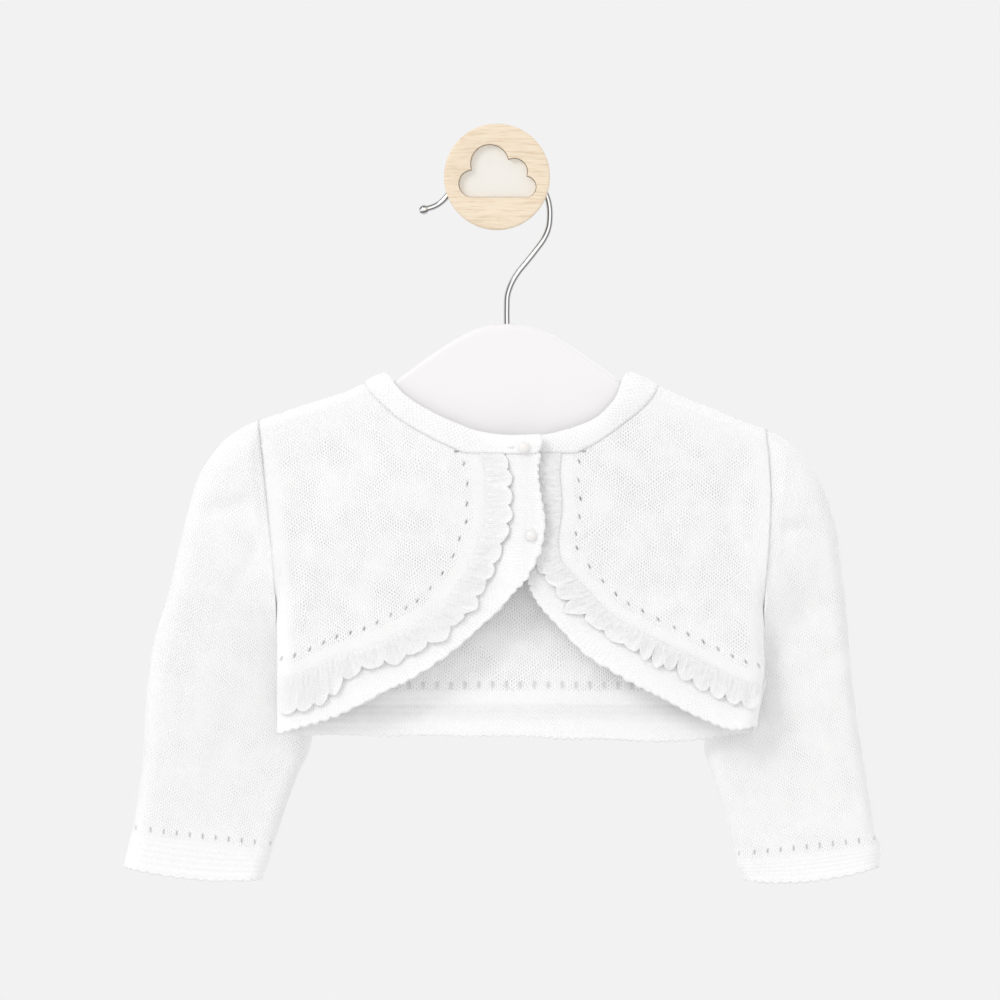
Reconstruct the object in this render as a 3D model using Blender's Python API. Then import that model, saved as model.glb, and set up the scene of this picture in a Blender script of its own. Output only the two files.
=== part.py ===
"""Baby's knitted bolero cardigan, closed at the chest by two pearl buttons, on a child's
hanger whose hook hangs over a wooden wall peg.

Lengths are in millimetres and become metres in add_mesh. +Z is up, the front faces -Y,
and the origin is the middle of the peg's back face, on the wall. Sides are the wearer's:
the right front is at -X. Every cloth piece is a wall of one thickness whose outer points
are worked out first, and neighbouring pieces keep a small gap at their seam.
"""
import math

import bmesh
import bpy
import numpy as np

MM = 0.001

# Cloth
CLOTH = 1.5             # wall of the knitted panels
FRILL_CLOTH = 1.2       # wall of the frill
SEAM = 0.3              # gap between pieces that are sewn or rest together
ARMHOLE_GAP = 0.5

# Depth of the hanging garment
HANG_Y = -38.0          # plane of the hanger, where front and back meet over the shoulder
CREST_RADIUS = 5.0      # how the cloth rounds over the hanger's top edge
FRONT_FULLNESS = 4.6    # what the front gains further down
BACK_FULLNESS = 4.0     # what the back gains further down
FULL_DROP = 80.0        # distance below the shoulder where the fullness is complete
SIDE_RADIUS = 9.0       # rounded fold at each side seam
UNDERARM_Z = -214.0
UNDERARM_ROUND = 26.0   # height over which the side's fold opens into the armhole
LAP_LIFT = 5.0          # the right front lies this far in front of the left one
LAP_START_X = -6.0
LAP_END_X = 12.0
TUCK_DEPTH = 1.0        # the left front lies this far back under the lap
TUCK_START_X = 36.0
TUCK_END_X = 16.0

# Knitted borders and frill
FRILL_GAP = 0.5         # the frill's seam lies this far off the border
FRILL_START = 0.22      # seam of the frill, as a share of the border's width
FRILL_END = 0.66        # its free edge
FRILL_LOBE = 0.05       # how far each scallop reaches past that
FRILL_LIFT = 1.9        # how far the free edge stands off the border
FRILL_WAVE = 1.2        # height of its waves to each side of that
FRONT_LOBES = 10
BACK_LOBES = 14
FRONT_FRILL_ENDS = (0.01, 0.985)    # stations where a frill starts and ends
BACK_FRILL_ENDS = (0.015, 0.985)

# Hanger and hook
HANGER_X = 5.0
HANGER_THICKNESS = 6.0
HANGER_ROUND = 2.0
WIRE_RADIUS = 1.6
BALL_RADIUS = 2.5
HOOK_SOCKET_DEPTH = 12.0
CUTTER_PAST = 4.0       # how far a cutter stands past the face it opens

# Wall peg
DOWEL_RADIUS = 6.0
DISC_RADIUS = 26.5
DISC_THICKNESS = 8.0
DISC_BACK_Y = -44.0
DISC_ROUND = 0.8
RECESS_DEPTH = 5.0
INLAY_THICKNESS = 1.0
CLOUD_CENTRE = (0.5, -3.5)
CLOUD_BASE_Z = -10.3
CLOUD_BASE_X = (-12.2, 14.2)    # ends of the cloud's flat base

# Top line of shoulders and neck: x, z
SHOULDER_LINE = [
    (-119.5, -121.6), (-100.2, -114.9), (-86.9, -110.7), (-75.2, -106.9), (-66.0, -102.6),
    (-58.0, -96.5), (-47.0, -88.0), (5.0, -70.0), (57.0, -86.0), (66.0, -95.5),
    (79.5, -103.6), (96.5, -111.2), (108.5, -115.9), (122.9, -121.9), (134.5, -126.0),
]
# Side edges of the body: z, x at the wearer's right, x at the wearer's left
SIDE_LINES = [
    (-284.0, -110.5, 128.0), (-279.0, -110.5, 129.5), (-262.0, -110.5, 133.5),
    (-251.0, -110.5, 134.5), (-236.0, -110.5, 134.0), (-217.0, -110.8, 133.9),
    (-207.0, -111.2, 134.4), (-185.0, -113.0, 136.1), (-173.0, -114.1, 136.9),
    (-157.0, -115.6, 137.3), (-140.0, -117.3, 136.4), (-121.6, -119.5, 134.2),
]
# Neckband, in four stretches from the lap round the neck to the hidden end. The panels share
# the lower edge: lower x, z, upper x, z, upper y
NECK_LAP = [
    (21.9, -137.0, 23.5, -128.4, -52.2), (5.0, -137.2, 5.0, -128.9, -50.6),
    (-8.0, -137.0, -6.0, -127.6, -47.2), (-16.5, -136.6, -13.8, -125.6, -46.7),
]
RIGHT_NECK = [
    (-16.5, -136.6, -13.8, -125.6, -46.7), (-22.0, -134.2, -18.4, -123.6, -46.5),
    (-37.4, -126.6, -30.1, -118.5, -45.8), (-49.0, -119.3, -42.0, -111.7, -45.0),
    (-58.0, -111.3, -49.7, -104.9, -44.0), (-62.3, -107.0, -52.2, -101.2, -42.3),
    (-65.5, -102.2, -54.6, -97.4, -38.0),
]
BACK_NECK = [
    (-65.5, -102.2, -54.6, -97.4, -38.0), (-60.5, -108.2, -52.4, -101.2, -33.7),
    (-52.0, -112.0, -47.0, -104.6, -32.2), (-35.0, -115.2, -32.0, -106.0, -31.4),
    (5.0, -116.8, 5.0, -107.4, -31.2), (45.0, -115.2, 42.0, -106.0, -31.4),
    (64.0, -112.5, 56.5, -104.6, -32.2), (73.5, -109.0, 62.0, -101.2, -33.7),
    (79.8, -103.7, 64.8, -97.0, -38.0),
]
LEFT_NECK = [
    (79.8, -103.7, 64.8, -97.0, -38.0), (76.8, -109.5, 62.6, -101.2, -42.3),
    (73.2, -113.6, 60.6, -107.0, -44.2), (62.9, -122.0, 56.0, -114.2, -45.2),
    (50.5, -131.0, 47.0, -121.6, -46.0), (39.5, -136.6, 36.6, -125.6, -46.5),
]
NECK_TUCK = [
    (39.5, -136.6, 36.6, -125.6, -46.5), (21.5, -137.0, 22.6, -128.7, -46.2),
    (9.0, -137.2, 9.0, -129.2, -45.8),
]
NECKBAND_CROWN = 1.3    # how far the middle of the band stands off its two edges
# Stations along the seams, closer where the cloth rounds over the shoulder and the side
FRONT_NECK_SHARES = np.linspace(0.0, 1.0, 10) ** 1.5
BACK_NECK_SHARES = (1.0 - np.cos(np.linspace(0.0, math.pi, 15))) / 2
SHOULDER_SHARES = (1.0 - np.cos(np.linspace(0.0, math.pi, 10))) / 2
SHOULDER_PART = 0.48    # shoulder seam's share of a front's top edge
HEIGHT_SHARES = 1.0 - (1.0 - np.linspace(0.0, 1.0, 14)) ** 1.8
# Borders of the two fronts, neck to side seam: inner x, z, outer x, z
RIGHT_BORDER = [
    (-16.5, -136.9, 21.8, -138.0), (-13.0, -150.0, 20.3, -149.0), (-13.0, -162.0, 22.6, -162.0),
    (-13.5, -173.5, 24.0, -175.0), (-17.3, -182.5, 21.6, -187.5), (-20.4, -191.0, 15.0, -200.0),
    (-26.3, -200.0, 7.4, -208.7), (-32.4, -207.4, -2.2, -219.5), (-38.8, -213.6, -13.0, -229.2),
    (-45.2, -217.6, -24.7, -238.5), (-52.4, -221.0, -39.3, -248.6), (-65.8, -227.8, -55.5, -257.2),
    (-79.8, -231.8, -74.5, -267.0), (-92.5, -237.8, -90.7, -272.9), (-101.0, -241.3, -101.0, -276.0),
    (-110.5, -243.5, -110.5, -279.0),
]
LEFT_BORDER = [
    (39.5, -136.9, 9.0, -138.0), (38.8, -150.0, 8.0, -150.0), (39.8, -161.0, 8.0, -162.0),
    (39.2, -171.0, 8.2, -174.5), (37.6, -179.5, 10.0, -187.5), (38.6, -187.8, 14.6, -198.6),
    (45.0, -196.2, 17.0, -207.0), (52.0, -203.8, 22.5, -216.2), (58.6, -210.4, 31.5, -226.0),
    (65.0, -215.3, 44.0, -238.6), (72.3, -218.9, 58.4, -247.5), (80.2, -223.2, 70.5, -254.3),
    (95.0, -230.6, 85.2, -262.0), (109.8, -237.8, 103.5, -271.2), (122.0, -243.6, 118.0, -276.2),
    (134.1, -247.5, 130.5, -275.2),
]
BORDER_TURN_ROW = 5     # row of both tables where a front's edge turns from its front to its hem
# Back hem, side to side: upper x, z, lower x, z
BACK_HEM = [
    (-110.5, -256.4, -110.5, -279.0), (-60.0, -256.4, -60.0, -279.8), (5.0, -256.4, 5.0, -280.2),
    (60.0, -256.4, 60.0, -281.8), (95.0, -256.4, 95.0, -282.3), (118.0, -256.2, 116.0, -279.6),
    (134.2, -256.0, 129.6, -278.0),
]
# Sleeves below the armhole ring. Outer end: x, z, y, half thickness; inner end: the same; share
# of the section that stays as far forward as its outer end; x, z its middle line bends towards
RIGHT_SLEEVE = [
    (-125.5, -123.8, -38.0, 9.0, -111.8, -218.0, -35.0, 7.0, 0.45, -117.2, -212.0),
    (-135.7, -130.5, -38.0, 9.0, -111.4, -225.0, -31.4, 5.8, 0.42, -120.7, -218.0),
    (-143.5, -139.6, -37.8, 8.8, -110.6, -231.5, -27.0, 5.2, 0.36, -122.0, -226.0),
    (-149.0, -148.2, -37.2, 8.6, -109.0, -238.5, -23.0, 5.0, 0.26, -121.8, -234.0),
    (-154.0, -163.0, -36.0, 8.4, -106.3, -245.5, -19.6, 5.2, 0.12, -120.4, -240.5),
    (-160.3, -188.5, -34.0, 8.0, -102.6, -253.5, -17.2, 5.8, 0.0, -118.6, -247.0),
    (-166.0, -212.0, -32.0, 7.8, -98.2, -262.5, -15.6, 6.4, 0.0, -116.6, -255.0),
    (-171.9, -230.0, -30.0, 7.6, -94.6, -272.5, -14.8, 6.8, 0.0, -119.0, -264.0),
    (-175.9, -255.0, -28.0, 7.4, -93.6, -283.5, -14.8, 7.2, 0.0, -130.0, -273.0),
    (-178.5, -295.0, -25.6, 7.4, -101.6, -303.0, -16.0, 7.4, 0.0, -140.0, -299.0),
    (-180.8, -311.0, -24.7, 7.4, -107.2, -318.5, -16.8, 7.4, 0.0, -144.0, -315.0),
    (-182.7, -323.0, -24.0, 7.4, -111.6, -332.0, -17.4, 7.4, 0.0, -147.2, -327.5),
]
LEFT_SLEEVE = [
    (144.5, -131.1, -38.0, 9.0, 134.8, -218.0, -35.0, 7.0, 0.45, 140.4, -212.0),
    (154.1, -140.7, -38.0, 9.0, 134.6, -225.0, -31.4, 5.8, 0.40, 143.7, -218.0),
    (160.5, -148.7, -37.6, 8.8, 133.6, -231.5, -27.0, 5.2, 0.33, 144.8, -226.0),
    (166.3, -162.3, -36.8, 8.6, 131.8, -238.5, -23.0, 5.0, 0.22, 144.4, -234.0),
    (170.2, -175.0, -35.8, 8.4, 128.8, -246.0, -19.6, 5.2, 0.10, 142.8, -241.0),
    (173.2, -197.0, -34.0, 8.0, 123.6, -254.5, -17.2, 5.8, 0.0, 140.8, -248.0),
    (175.7, -218.0, -32.2, 7.8, 116.6, -263.8, -15.6, 6.4, 0.0, 137.4, -256.5),
    (177.5, -241.5, -30.2, 7.6, 109.6, -273.5, -14.8, 6.8, 0.0, 136.6, -265.5),
    (180.2, -264.0, -28.2, 7.4, 104.6, -284.0, -14.8, 7.2, 0.0, 140.4, -275.5),
    (184.9, -295.0, -26.0, 7.4, 109.6, -303.0, -16.0, 7.4, 0.0, 147.2, -299.0),
    (188.2, -316.0, -24.9, 7.4, 115.6, -321.0, -16.8, 7.4, 0.0, 152.0, -318.5),
    (190.4, -328.4, -24.2, 7.4, 119.8, -336.8, -17.4, 7.4, 0.0, 155.1, -332.6),
]
# Cuffs, eyelet row to hem, same columns
RIGHT_CUFF = [
    (-182.8, -323.4, -24.0, 7.4, -111.7, -332.4, -17.4, 7.4, 0.0, -147.2, -327.9),
    (-185.0, -333.0, -23.7, 7.8, -114.2, -341.0, -17.6, 7.8, 0.0, -149.6, -337.4),
    (-188.0, -345.2, -23.4, 8.0, -118.2, -351.8, -17.8, 8.0, 0.0, -153.1, -350.5),
]
LEFT_CUFF = [
    (190.5, -328.8, -24.2, 7.4, 119.9, -337.2, -17.4, 7.4, 0.0, 155.2, -333.0),
    (193.0, -336.5, -23.9, 7.8, 121.2, -345.0, -17.6, 7.8, 0.0, 157.1, -341.4),
    (192.6, -345.0, -23.6, 8.0, 125.0, -352.4, -17.8, 8.0, 0.0, 158.8, -352.0),
]
SLEEVE_SIDES = 22       # points round a sleeve
CUFF_BULGE = 2.0        # the hem's middle hangs this far below the line between its ends
# Folds pressed into the cloth: x, z, direction in degrees from +X, half length, half width, depth
RIGHT_SLEEVE_FOLDS = [
    (-130.0, -164.0, 8.0, 16.0, 5.0, 2.0), (-126.0, -196.0, 62.0, 22.0, 6.0, 1.2),
    (-150.0, -232.0, -38.0, 22.0, 7.0, 1.0), (-138.0, -286.0, 74.0, 24.0, 8.0, 0.9),
]
LEFT_SLEEVE_FOLDS = [
    (146.0, -175.5, -4.0, 14.0, 4.5, 2.2), (150.0, -206.0, -66.0, 24.0, 6.0, 1.3),
    (160.0, -246.0, 34.0, 20.0, 7.0, 1.0), (152.0, -292.0, -72.0, 26.0, 8.0, 0.9),
]
# Hanger outline from its middle outwards: distance from the middle, z
HANGER_TOP = [
    (0.0, -72.9), (8.0, -73.4), (16.0, -75.6), (24.5, -79.8), (35.0, -86.4), (46.0, -94.2),
    (56.0, -101.4), (66.0, -107.8), (80.0, -112.6), (100.0, -119.4), (118.0, -126.8),
    (132.0, -133.2), (141.0, -140.5), (146.0, -150.0),
]
HANGER_LOW = [
    (145.0, -158.0), (139.0, -163.0), (128.0, -161.0), (108.0, -151.0), (80.0, -143.0),
    (45.0, -143.5), (0.0, -146.0),
]
# Wire hook, from the hanger up over the dowel to the flared tip: x, z
HOOK_STEM = [
    (4.9, -84.6), (4.9, -72.9), (4.9, -64.9), (5.2, -59.1), (7.0, -53.4), (10.4, -47.6),
    (15.0, -41.9), (19.5, -36.2), (23.6, -30.4), (25.9, -24.7),
]
HOOK_CENTRE = (0.5, -18.0)
HOOK_RADIUS = 26.0
HOOK_FROM_DEGREES = -3.0
HOOK_TO_DEGREES = 150.0
HOOK_TIP = [(-24.3, -8.2), (-26.7, -11.0), (-29.4, -13.2), (-32.2, -14.6), (-34.8, -15.4)]
# Cloud recess, one row for each lobe: x, z, radius
CLOUD_LOBES = [
    (-3.6, 6.6, 9.7), (-12.2, -3.4, 7.0), (8.6, 2.6, 6.8), (14.2, -5.0, 5.5), (0.0, -3.0, 9.0),
]
# Buttons: name, x, z, how far the cloth under it stands off the lap
BUTTONS = [("button_top", 13.5, -135.4, 1.2), ("button_lower", 17.0, -179.5, 0.0)]
BUTTON_RADIUS = 2.8
BUTTON_HEIGHT = 2.3
# Its turned profile: share of the height, share of the radius
BUTTON_PROFILE = [(0.0, 0.86), (0.12, 1.0), (0.45, 0.9), (0.78, 0.62), (0.96, 0.28)]


def clear_scene():
    """Remove what the open file holds."""
    for item in list(bpy.data.objects):
        bpy.data.objects.remove(item, do_unlink=True)


def make_material(name, colour, roughness, metallic=0.0):
    """Principled material of one colour."""
    material = bpy.data.materials.new(name)
    material.use_nodes = True
    shader = material.node_tree.nodes["Principled BSDF"]
    shader.inputs["Base Color"].default_value = (*colour, 1.0)
    shader.inputs["Roughness"].default_value = roughness
    shader.inputs["Metallic"].default_value = metallic
    return material


def rise(distance, reach):
    """Quarter circle that climbs from 0 at the edge to 1 at the given reach."""
    share = np.clip(distance / reach, 0.0, 1.0)
    return np.sqrt(1.0 - (1.0 - share) ** 2)


def ease(share):
    """Soft step from 0 to 1."""
    share = np.clip(share, 0.0, 1.0)
    return share * share * (3.0 - 2.0 * share)


def through(rows, stations, lead=2):
    """Smooth curve through the rows; stations run from 0 to 1 along the chords of the lead columns."""
    rows = np.array(rows, dtype=float)
    steps = np.linalg.norm(np.diff(rows[:, :lead], axis=0), axis=1)
    knots = np.concatenate([[0.0], np.cumsum(steps)]) / steps.sum()
    slopes = np.gradient(rows, knots, axis=0)
    stations = np.asarray(stations, dtype=float)
    index = np.clip(np.searchsorted(knots, stations, side="right") - 1, 0, len(knots) - 2)
    width = (knots[index + 1] - knots[index])[:, None]
    t = (stations[:, None] - knots[index][:, None]) / width
    start = (2 * t ** 3 - 3 * t ** 2 + 1) * rows[index] + (t ** 3 - 2 * t ** 2 + t) * width * slopes[index]
    end = (3 * t ** 2 - 2 * t ** 3) * rows[index + 1] + (t ** 3 - t ** 2) * width * slopes[index + 1]
    return start + end


def station_of_row(rows, row, lead=2):
    """Station of one row of a table on its curve."""
    steps = np.linalg.norm(np.diff(np.array(rows, dtype=float)[:, :lead], axis=0), axis=1)
    return steps[:row].sum() / steps.sum()


def shoulder_z(x):
    """Height of the shoulder line over x."""
    table = np.array(SHOULDER_LINE)
    return np.interp(x, table[:, 0], table[:, 1])


def side_x(z, side):
    """Side edge of the body at height z; side is -1 at the wearer's right, 1 at the left."""
    table = np.array(SIDE_LINES)
    return np.interp(z, table[:, 0], table[:, 1 if side < 0 else 2])


def body_y(x, z, face):
    """Outer surface of the body; face is -1 for the front and 1 for the back.

    The depth grows in a quarter circle below the shoulder line, then slowly with the
    drop, and turns back to the hanger's plane at the side seams and round the underarm.
    """
    drop = shoulder_z(x) - z
    fullness = FRONT_FULLNESS if face < 0 else BACK_FULLNESS
    depth = CREST_RADIUS * rise(drop, CREST_RADIUS) + fullness * ease(drop / FULL_DROP)
    from_side = np.minimum(x - side_x(z, -1), side_x(z, 1) - x)
    above = np.maximum(z - UNDERARM_Z, 0.0) * SIDE_RADIUS / UNDERARM_ROUND
    turn = rise(np.hypot(np.maximum(from_side, 0.0), above), SIDE_RADIUS)
    return HANG_Y + face * (SEAM / 2 + depth * turn)


def lap_offset(x, layer):
    """How far a front's border moves towards the viewer: the right one laps over, the left one tucks under."""
    if layer < 0:
        return -LAP_LIFT * ease((x - LAP_START_X) / (LAP_END_X - LAP_START_X))
    return TUCK_DEPTH * ease((TUCK_START_X - x) / (TUCK_START_X - TUCK_END_X))


def grid_normals(grid, closed=False):
    """Unit normals of a grid of points, each the mean of its quads'; closed wraps the second direction."""
    if closed:
        grid = np.concatenate([grid[:, -1:], grid, grid[:, :1]], axis=1)
    quad = np.cross(grid[1:, 1:] - grid[:-1, :-1], grid[:-1, 1:] - grid[1:, :-1])
    quad = quad / np.maximum(np.linalg.norm(quad, axis=2, keepdims=True), 1e-9)
    padded = np.pad(quad, ((1, 1), (1, 1), (0, 0)))
    normal = padded[1:, 1:] + padded[:-1, 1:] + padded[1:, :-1] + padded[:-1, :-1]
    if closed:
        normal = normal[:, 1:-1]
    return normal / np.maximum(np.linalg.norm(normal, axis=2, keepdims=True), 1e-9)


def soften(normals):
    """Mean of each normal and its neighbours along and across the grid, edges left as they are."""
    mean = normals.copy()
    mean[1:-1, 1:-1] = (normals[1:-1, 1:-1] * 2 + normals[:-2, 1:-1] + normals[2:, 1:-1]
                        + normals[1:-1, :-2] + normals[1:-1, 2:])
    return mean / np.linalg.norm(mean, axis=2, keepdims=True)


def seam_normals(x, z, face):
    """Unit normals of the body's surface, shared by the pieces that meet at a seam."""
    step = 0.3
    slope_x = (body_y(x + step, z, face) - body_y(x - step, z, face)) / (2 * step)
    slope_z = (body_y(x, z + step, face) - body_y(x, z - step, face)) / (2 * step)
    normal = np.stack([-slope_x, np.ones_like(slope_x), -slope_z], axis=-1) * face
    return normal / np.linalg.norm(normal, axis=-1, keepdims=True)


def facing(normals, towards):
    """Flip a whole field of normals so that most of them point along towards."""
    agree = np.sum(normals * towards)
    return normals if agree >= 0 else -normals


def square_edge(normals, keep):
    """Keep the wall square to its seams: the share of the normals' depth that each point keeps."""
    normals = normals.copy()
    normals[..., 1] *= keep
    length = np.linalg.norm(normals, axis=2, keepdims=True)
    return normals / np.maximum(length, 1e-9)


def grid_faces(rows, columns, start, closed, flip):
    """Quads of a grid whose points are numbered from start."""
    faces = []
    last = columns if closed else columns - 1
    for i in range(rows - 1):
        for j in range(last):
            k = (j + 1) % columns
            quad = (start + i * columns + j, start + i * columns + k,
                    start + (i + 1) * columns + k, start + (i + 1) * columns + j)
            faces.append(quad[::-1] if flip else quad)
    return faces


def rim_faces(edge, offset):
    """Quads that join an edge of the outer points to the inner points below it."""
    return [(a, b, b + offset, a + offset) for a, b in zip(edge[:-1], edge[1:])]


def wall_sheet(grid, normals, thickness):
    """Closed wall from an open grid: outer points, inner points and a rim on four sides."""
    rows, columns = grid.shape[:2]
    inner = grid - normals * thickness
    count = rows * columns
    points = np.concatenate([grid.reshape(-1, 3), inner.reshape(-1, 3)])
    faces = grid_faces(rows, columns, 0, False, False)
    faces += grid_faces(rows, columns, count, False, True)
    number = np.arange(count).reshape(rows, columns)
    for edge in (number[0, :], number[:, -1], number[-1, ::-1], number[::-1, 0]):
        faces += rim_faces([int(value) for value in edge], count)
    return points, faces


def wall_tube(grid, normals, thickness):
    """Closed wall from a grid whose rows are rings: outer rings, inner rings and two rims."""
    rows, columns = grid.shape[:2]
    inner = grid - normals * thickness
    count = rows * columns
    points = np.concatenate([grid.reshape(-1, 3), inner.reshape(-1, 3)])
    faces = grid_faces(rows, columns, 0, True, False)
    faces += grid_faces(rows, columns, count, True, True)
    number = np.arange(count).reshape(rows, columns)
    for ring in (number[0], number[-1]):
        edge = [int(value) for value in ring] + [int(ring[0])]
        faces += rim_faces(edge, count)
    return points, faces


def add_mesh(name, points, faces, material, sharp_degrees=45.0):
    """Make the object from points in millimetres, with its faces turned outwards."""
    mesh = bpy.data.meshes.new(name)
    mesh.from_pydata([tuple(point * MM) for point in np.asarray(points)], [], faces)
    work = bmesh.new()
    work.from_mesh(mesh)
    bmesh.ops.recalc_face_normals(work, faces=work.faces)
    work.to_mesh(mesh)
    work.free()
    mesh.shade_smooth()
    mesh.set_sharp_from_angle(angle=math.radians(sharp_degrees))
    item = bpy.data.objects.new(name, mesh)
    item.data.materials.append(material)
    bpy.context.scene.collection.objects.link(item)
    return item


def press_folds(grid, normals, folds):
    """Push the grid in along soft troughs, each long in its direction and short across it."""
    for x, z, degrees, half_length, half_width, depth in folds:
        turn = math.radians(degrees)
        dx = grid[..., 0] - x
        dz = grid[..., 2] - z
        along = dx * math.cos(turn) + dz * math.sin(turn)
        across = dz * math.cos(turn) - dx * math.sin(turn)
        push = depth * np.exp(-(along / half_length) ** 2 - (across / half_width) ** 2)
        front = np.clip(-normals[..., 1], 0.0, 1.0)
        grid = grid - normals * (push * front)[..., None]
    return grid


def coons_patch(bottom, top, left, right, u, v):
    """Grid between four edges in x and z; u runs left to right and v from bottom to top."""
    u = u[None, :, None]
    v = v[:, None, None]
    between = (1 - v) * bottom[None] + v * top[None] + (1 - u) * left[:, None] + u * right[:, None]
    corners = ((1 - u) * (1 - v) * bottom[0] + u * (1 - v) * bottom[-1]
               + (1 - u) * v * top[0] + u * v * top[-1])
    return between - corners


def lift_grid(flat, y):
    """Put depths on a grid of x and z."""
    return np.stack([flat[..., 0], y, flat[..., 1]], axis=-1)


def shoulder_edge(start_x, end_x, shares):
    """Points of the shoulder seam between two x, at the given shares of the way."""
    x = start_x + (end_x - start_x) * shares
    return np.stack([x, shoulder_z(x)], axis=1)


def front_panel(name, side, neckline, border, material):
    """A front, between its side and armhole, shoulder, neckline and border."""
    neck_x = neckline[0][0]
    tip_x = side_x(SIDE_LINES[-1][0], side)
    u = np.concatenate([SHOULDER_SHARES * SHOULDER_PART,
                        SHOULDER_PART + (1 - SHOULDER_PART) * FRONT_NECK_SHARES[1:]])
    v = HEIGHT_SHARES
    top = np.concatenate([shoulder_edge(tip_x, neck_x, SHOULDER_SHARES),
                          through(neckline, FRONT_NECK_SHARES)[1:, :2]])
    turn = station_of_row(border, BORDER_TURN_ROW)
    bottom = through(border, 1.0 - (1.0 - turn) * u)[:, :2]
    right = through(border, turn * (1.0 - v))[:, :2]
    right[-1] = top[-1]
    bottom_z = border[-1][1]
    left_z = bottom_z + (shoulder_z(tip_x) - bottom_z) * v
    left = np.stack([side_x(left_z, side), left_z], axis=1)
    bottom[0] = left[0]
    flat = coons_patch(bottom, top, left, right, u, v)
    grid = lift_grid(flat, body_y(flat[..., 0], flat[..., 1], -1))
    normals = facing(grid_normals(grid), np.array([0.0, -1.0, 0.0]))
    normals[-1] = seam_normals(grid[-1, :, 0], grid[-1, :, 2], -1)
    keep = np.ones(grid.shape[:2])
    keep[:, 0] = ease((left_z - UNDERARM_Z) / UNDERARM_ROUND)
    keep[-1, :len(SHOULDER_SHARES)] = 0.0
    normals = soften(square_edge(normals, keep))
    return add_mesh(name, *wall_sheet(grid, normals, CLOTH), material)


def back_panel(material):
    """The back, from shoulders and neckline down to the eyelet row."""
    edge = SHOULDER_SHARES
    middle = BACK_NECK_SHARES
    right_tip = side_x(SIDE_LINES[-1][0], -1)
    left_tip = side_x(SIDE_LINES[-1][0], 1)
    neck_right = BACK_NECK[0][0]
    neck_left = BACK_NECK[-1][0]
    span = left_tip - right_tip
    first = (neck_right - right_tip) / span
    second = (neck_left - right_tip) / span
    u = np.concatenate([edge * first, first + (second - first) * middle[1:],
                        1.0 - (edge[::-1] * (1.0 - second))[1:]])
    v = HEIGHT_SHARES
    top = np.concatenate([shoulder_edge(right_tip, neck_right, edge),
                          through(BACK_NECK, middle)[1:, :2],
                          shoulder_edge(left_tip, neck_left, edge)[::-1][1:]])
    hem = np.array(BACK_HEM)
    low_z = hem[0, 1] + SEAM
    left_z = low_z + (shoulder_z(right_tip) - low_z) * v
    right_z = low_z + (shoulder_z(left_tip) - low_z) * v
    left = np.stack([side_x(left_z, -1), left_z], axis=1)
    right = np.stack([side_x(right_z, 1), right_z], axis=1)
    bottom_x = left[0, 0] + (right[0, 0] - left[0, 0]) * u
    bottom = np.stack([bottom_x, np.full_like(bottom_x, low_z)], axis=1)
    flat = coons_patch(bottom, top, left, right, u, v)
    grid = lift_grid(flat, body_y(flat[..., 0], flat[..., 1], 1))
    normals = facing(grid_normals(grid), np.array([0.0, 1.0, 0.0]))
    normals[-1] = seam_normals(grid[-1, :, 0], grid[-1, :, 2], 1)
    keep = np.ones(grid.shape[:2])
    keep[:, 0] = ease((left_z - UNDERARM_Z) / UNDERARM_ROUND)
    keep[:, -1] = ease((right_z - UNDERARM_Z) / UNDERARM_ROUND)
    keep[-1, :len(edge)] = 0.0
    keep[-1, -len(edge):] = 0.0
    normals = soften(square_edge(normals, keep))
    return add_mesh("back_panel", *wall_sheet(grid, normals, CLOTH), material)


def border_grid(rows, stations, shares, face, layer):
    """Points of a border: stations along it, shares of its width across it."""
    line = through(rows, stations)
    inner = line[:, None, 0:2]
    outer = line[:, None, 2:4]
    width = np.linalg.norm(outer - inner, axis=2, keepdims=True)
    inner = inner + (outer - inner) * SEAM / width
    flat = inner + (outer - inner) * shares
    y = body_y(flat[..., 0], flat[..., 1], face)
    if layer:
        y = y + lap_offset(flat[..., 0], layer)
    return lift_grid(flat, y)


def border_band(name, rows, count, across, face, layer, material):
    """A knitted border as one wall."""
    stations = np.linspace(0.0, 1.0, count)
    shares = np.linspace(0.0, 1.0, across)[None, :, None]
    grid = border_grid(rows, stations, shares, face, layer)
    normals = facing(grid_normals(grid), np.array([0.0, face, 0.0]))
    keep = np.ones(grid.shape[:2])
    keep[-1] = 0.0
    keep[0] = abs(layer)
    normals = square_edge(normals, keep)
    return add_mesh(name, *wall_sheet(grid, normals, CLOTH), material)


def border_frill(name, rows, lobes, face, layer, ends, material):
    """The frill on a border: the border's own points moved out, waving more towards the free edge."""
    count = lobes * 5 + 1
    stations = np.linspace(ends[0], ends[1], count)
    phase = np.linspace(0.0, lobes * math.pi * 2, count)
    reach = FRILL_END + FRILL_LOBE * np.abs(np.sin(phase / 2)) ** 0.7
    out = np.linspace(0.0, 1.0, 4)
    shares = FRILL_START + (reach[:, None] - FRILL_START) * out[None, :]
    grid = border_grid(rows, stations, shares[..., None], face, layer)
    normals = facing(grid_normals(grid), np.array([0.0, face, 0.0]))
    stand = FRILL_LIFT * out[None, :] ** 0.8 + FRILL_WAVE * out[None, :] * np.sin(phase)[:, None]
    if layer > 0:
        under_lap = ease((LAP_END_X + 15.0 - grid[..., 0]) / 8.0)
        stand = stand * (1.0 - 0.75 * under_lap)
    grid = grid + normals * (FRILL_GAP + FRILL_CLOTH + stand)[..., None]
    normals = facing(grid_normals(grid), np.array([0.0, face, 0.0]))
    return add_mesh(name, *wall_sheet(grid, normals, FRILL_CLOTH), material)


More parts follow.
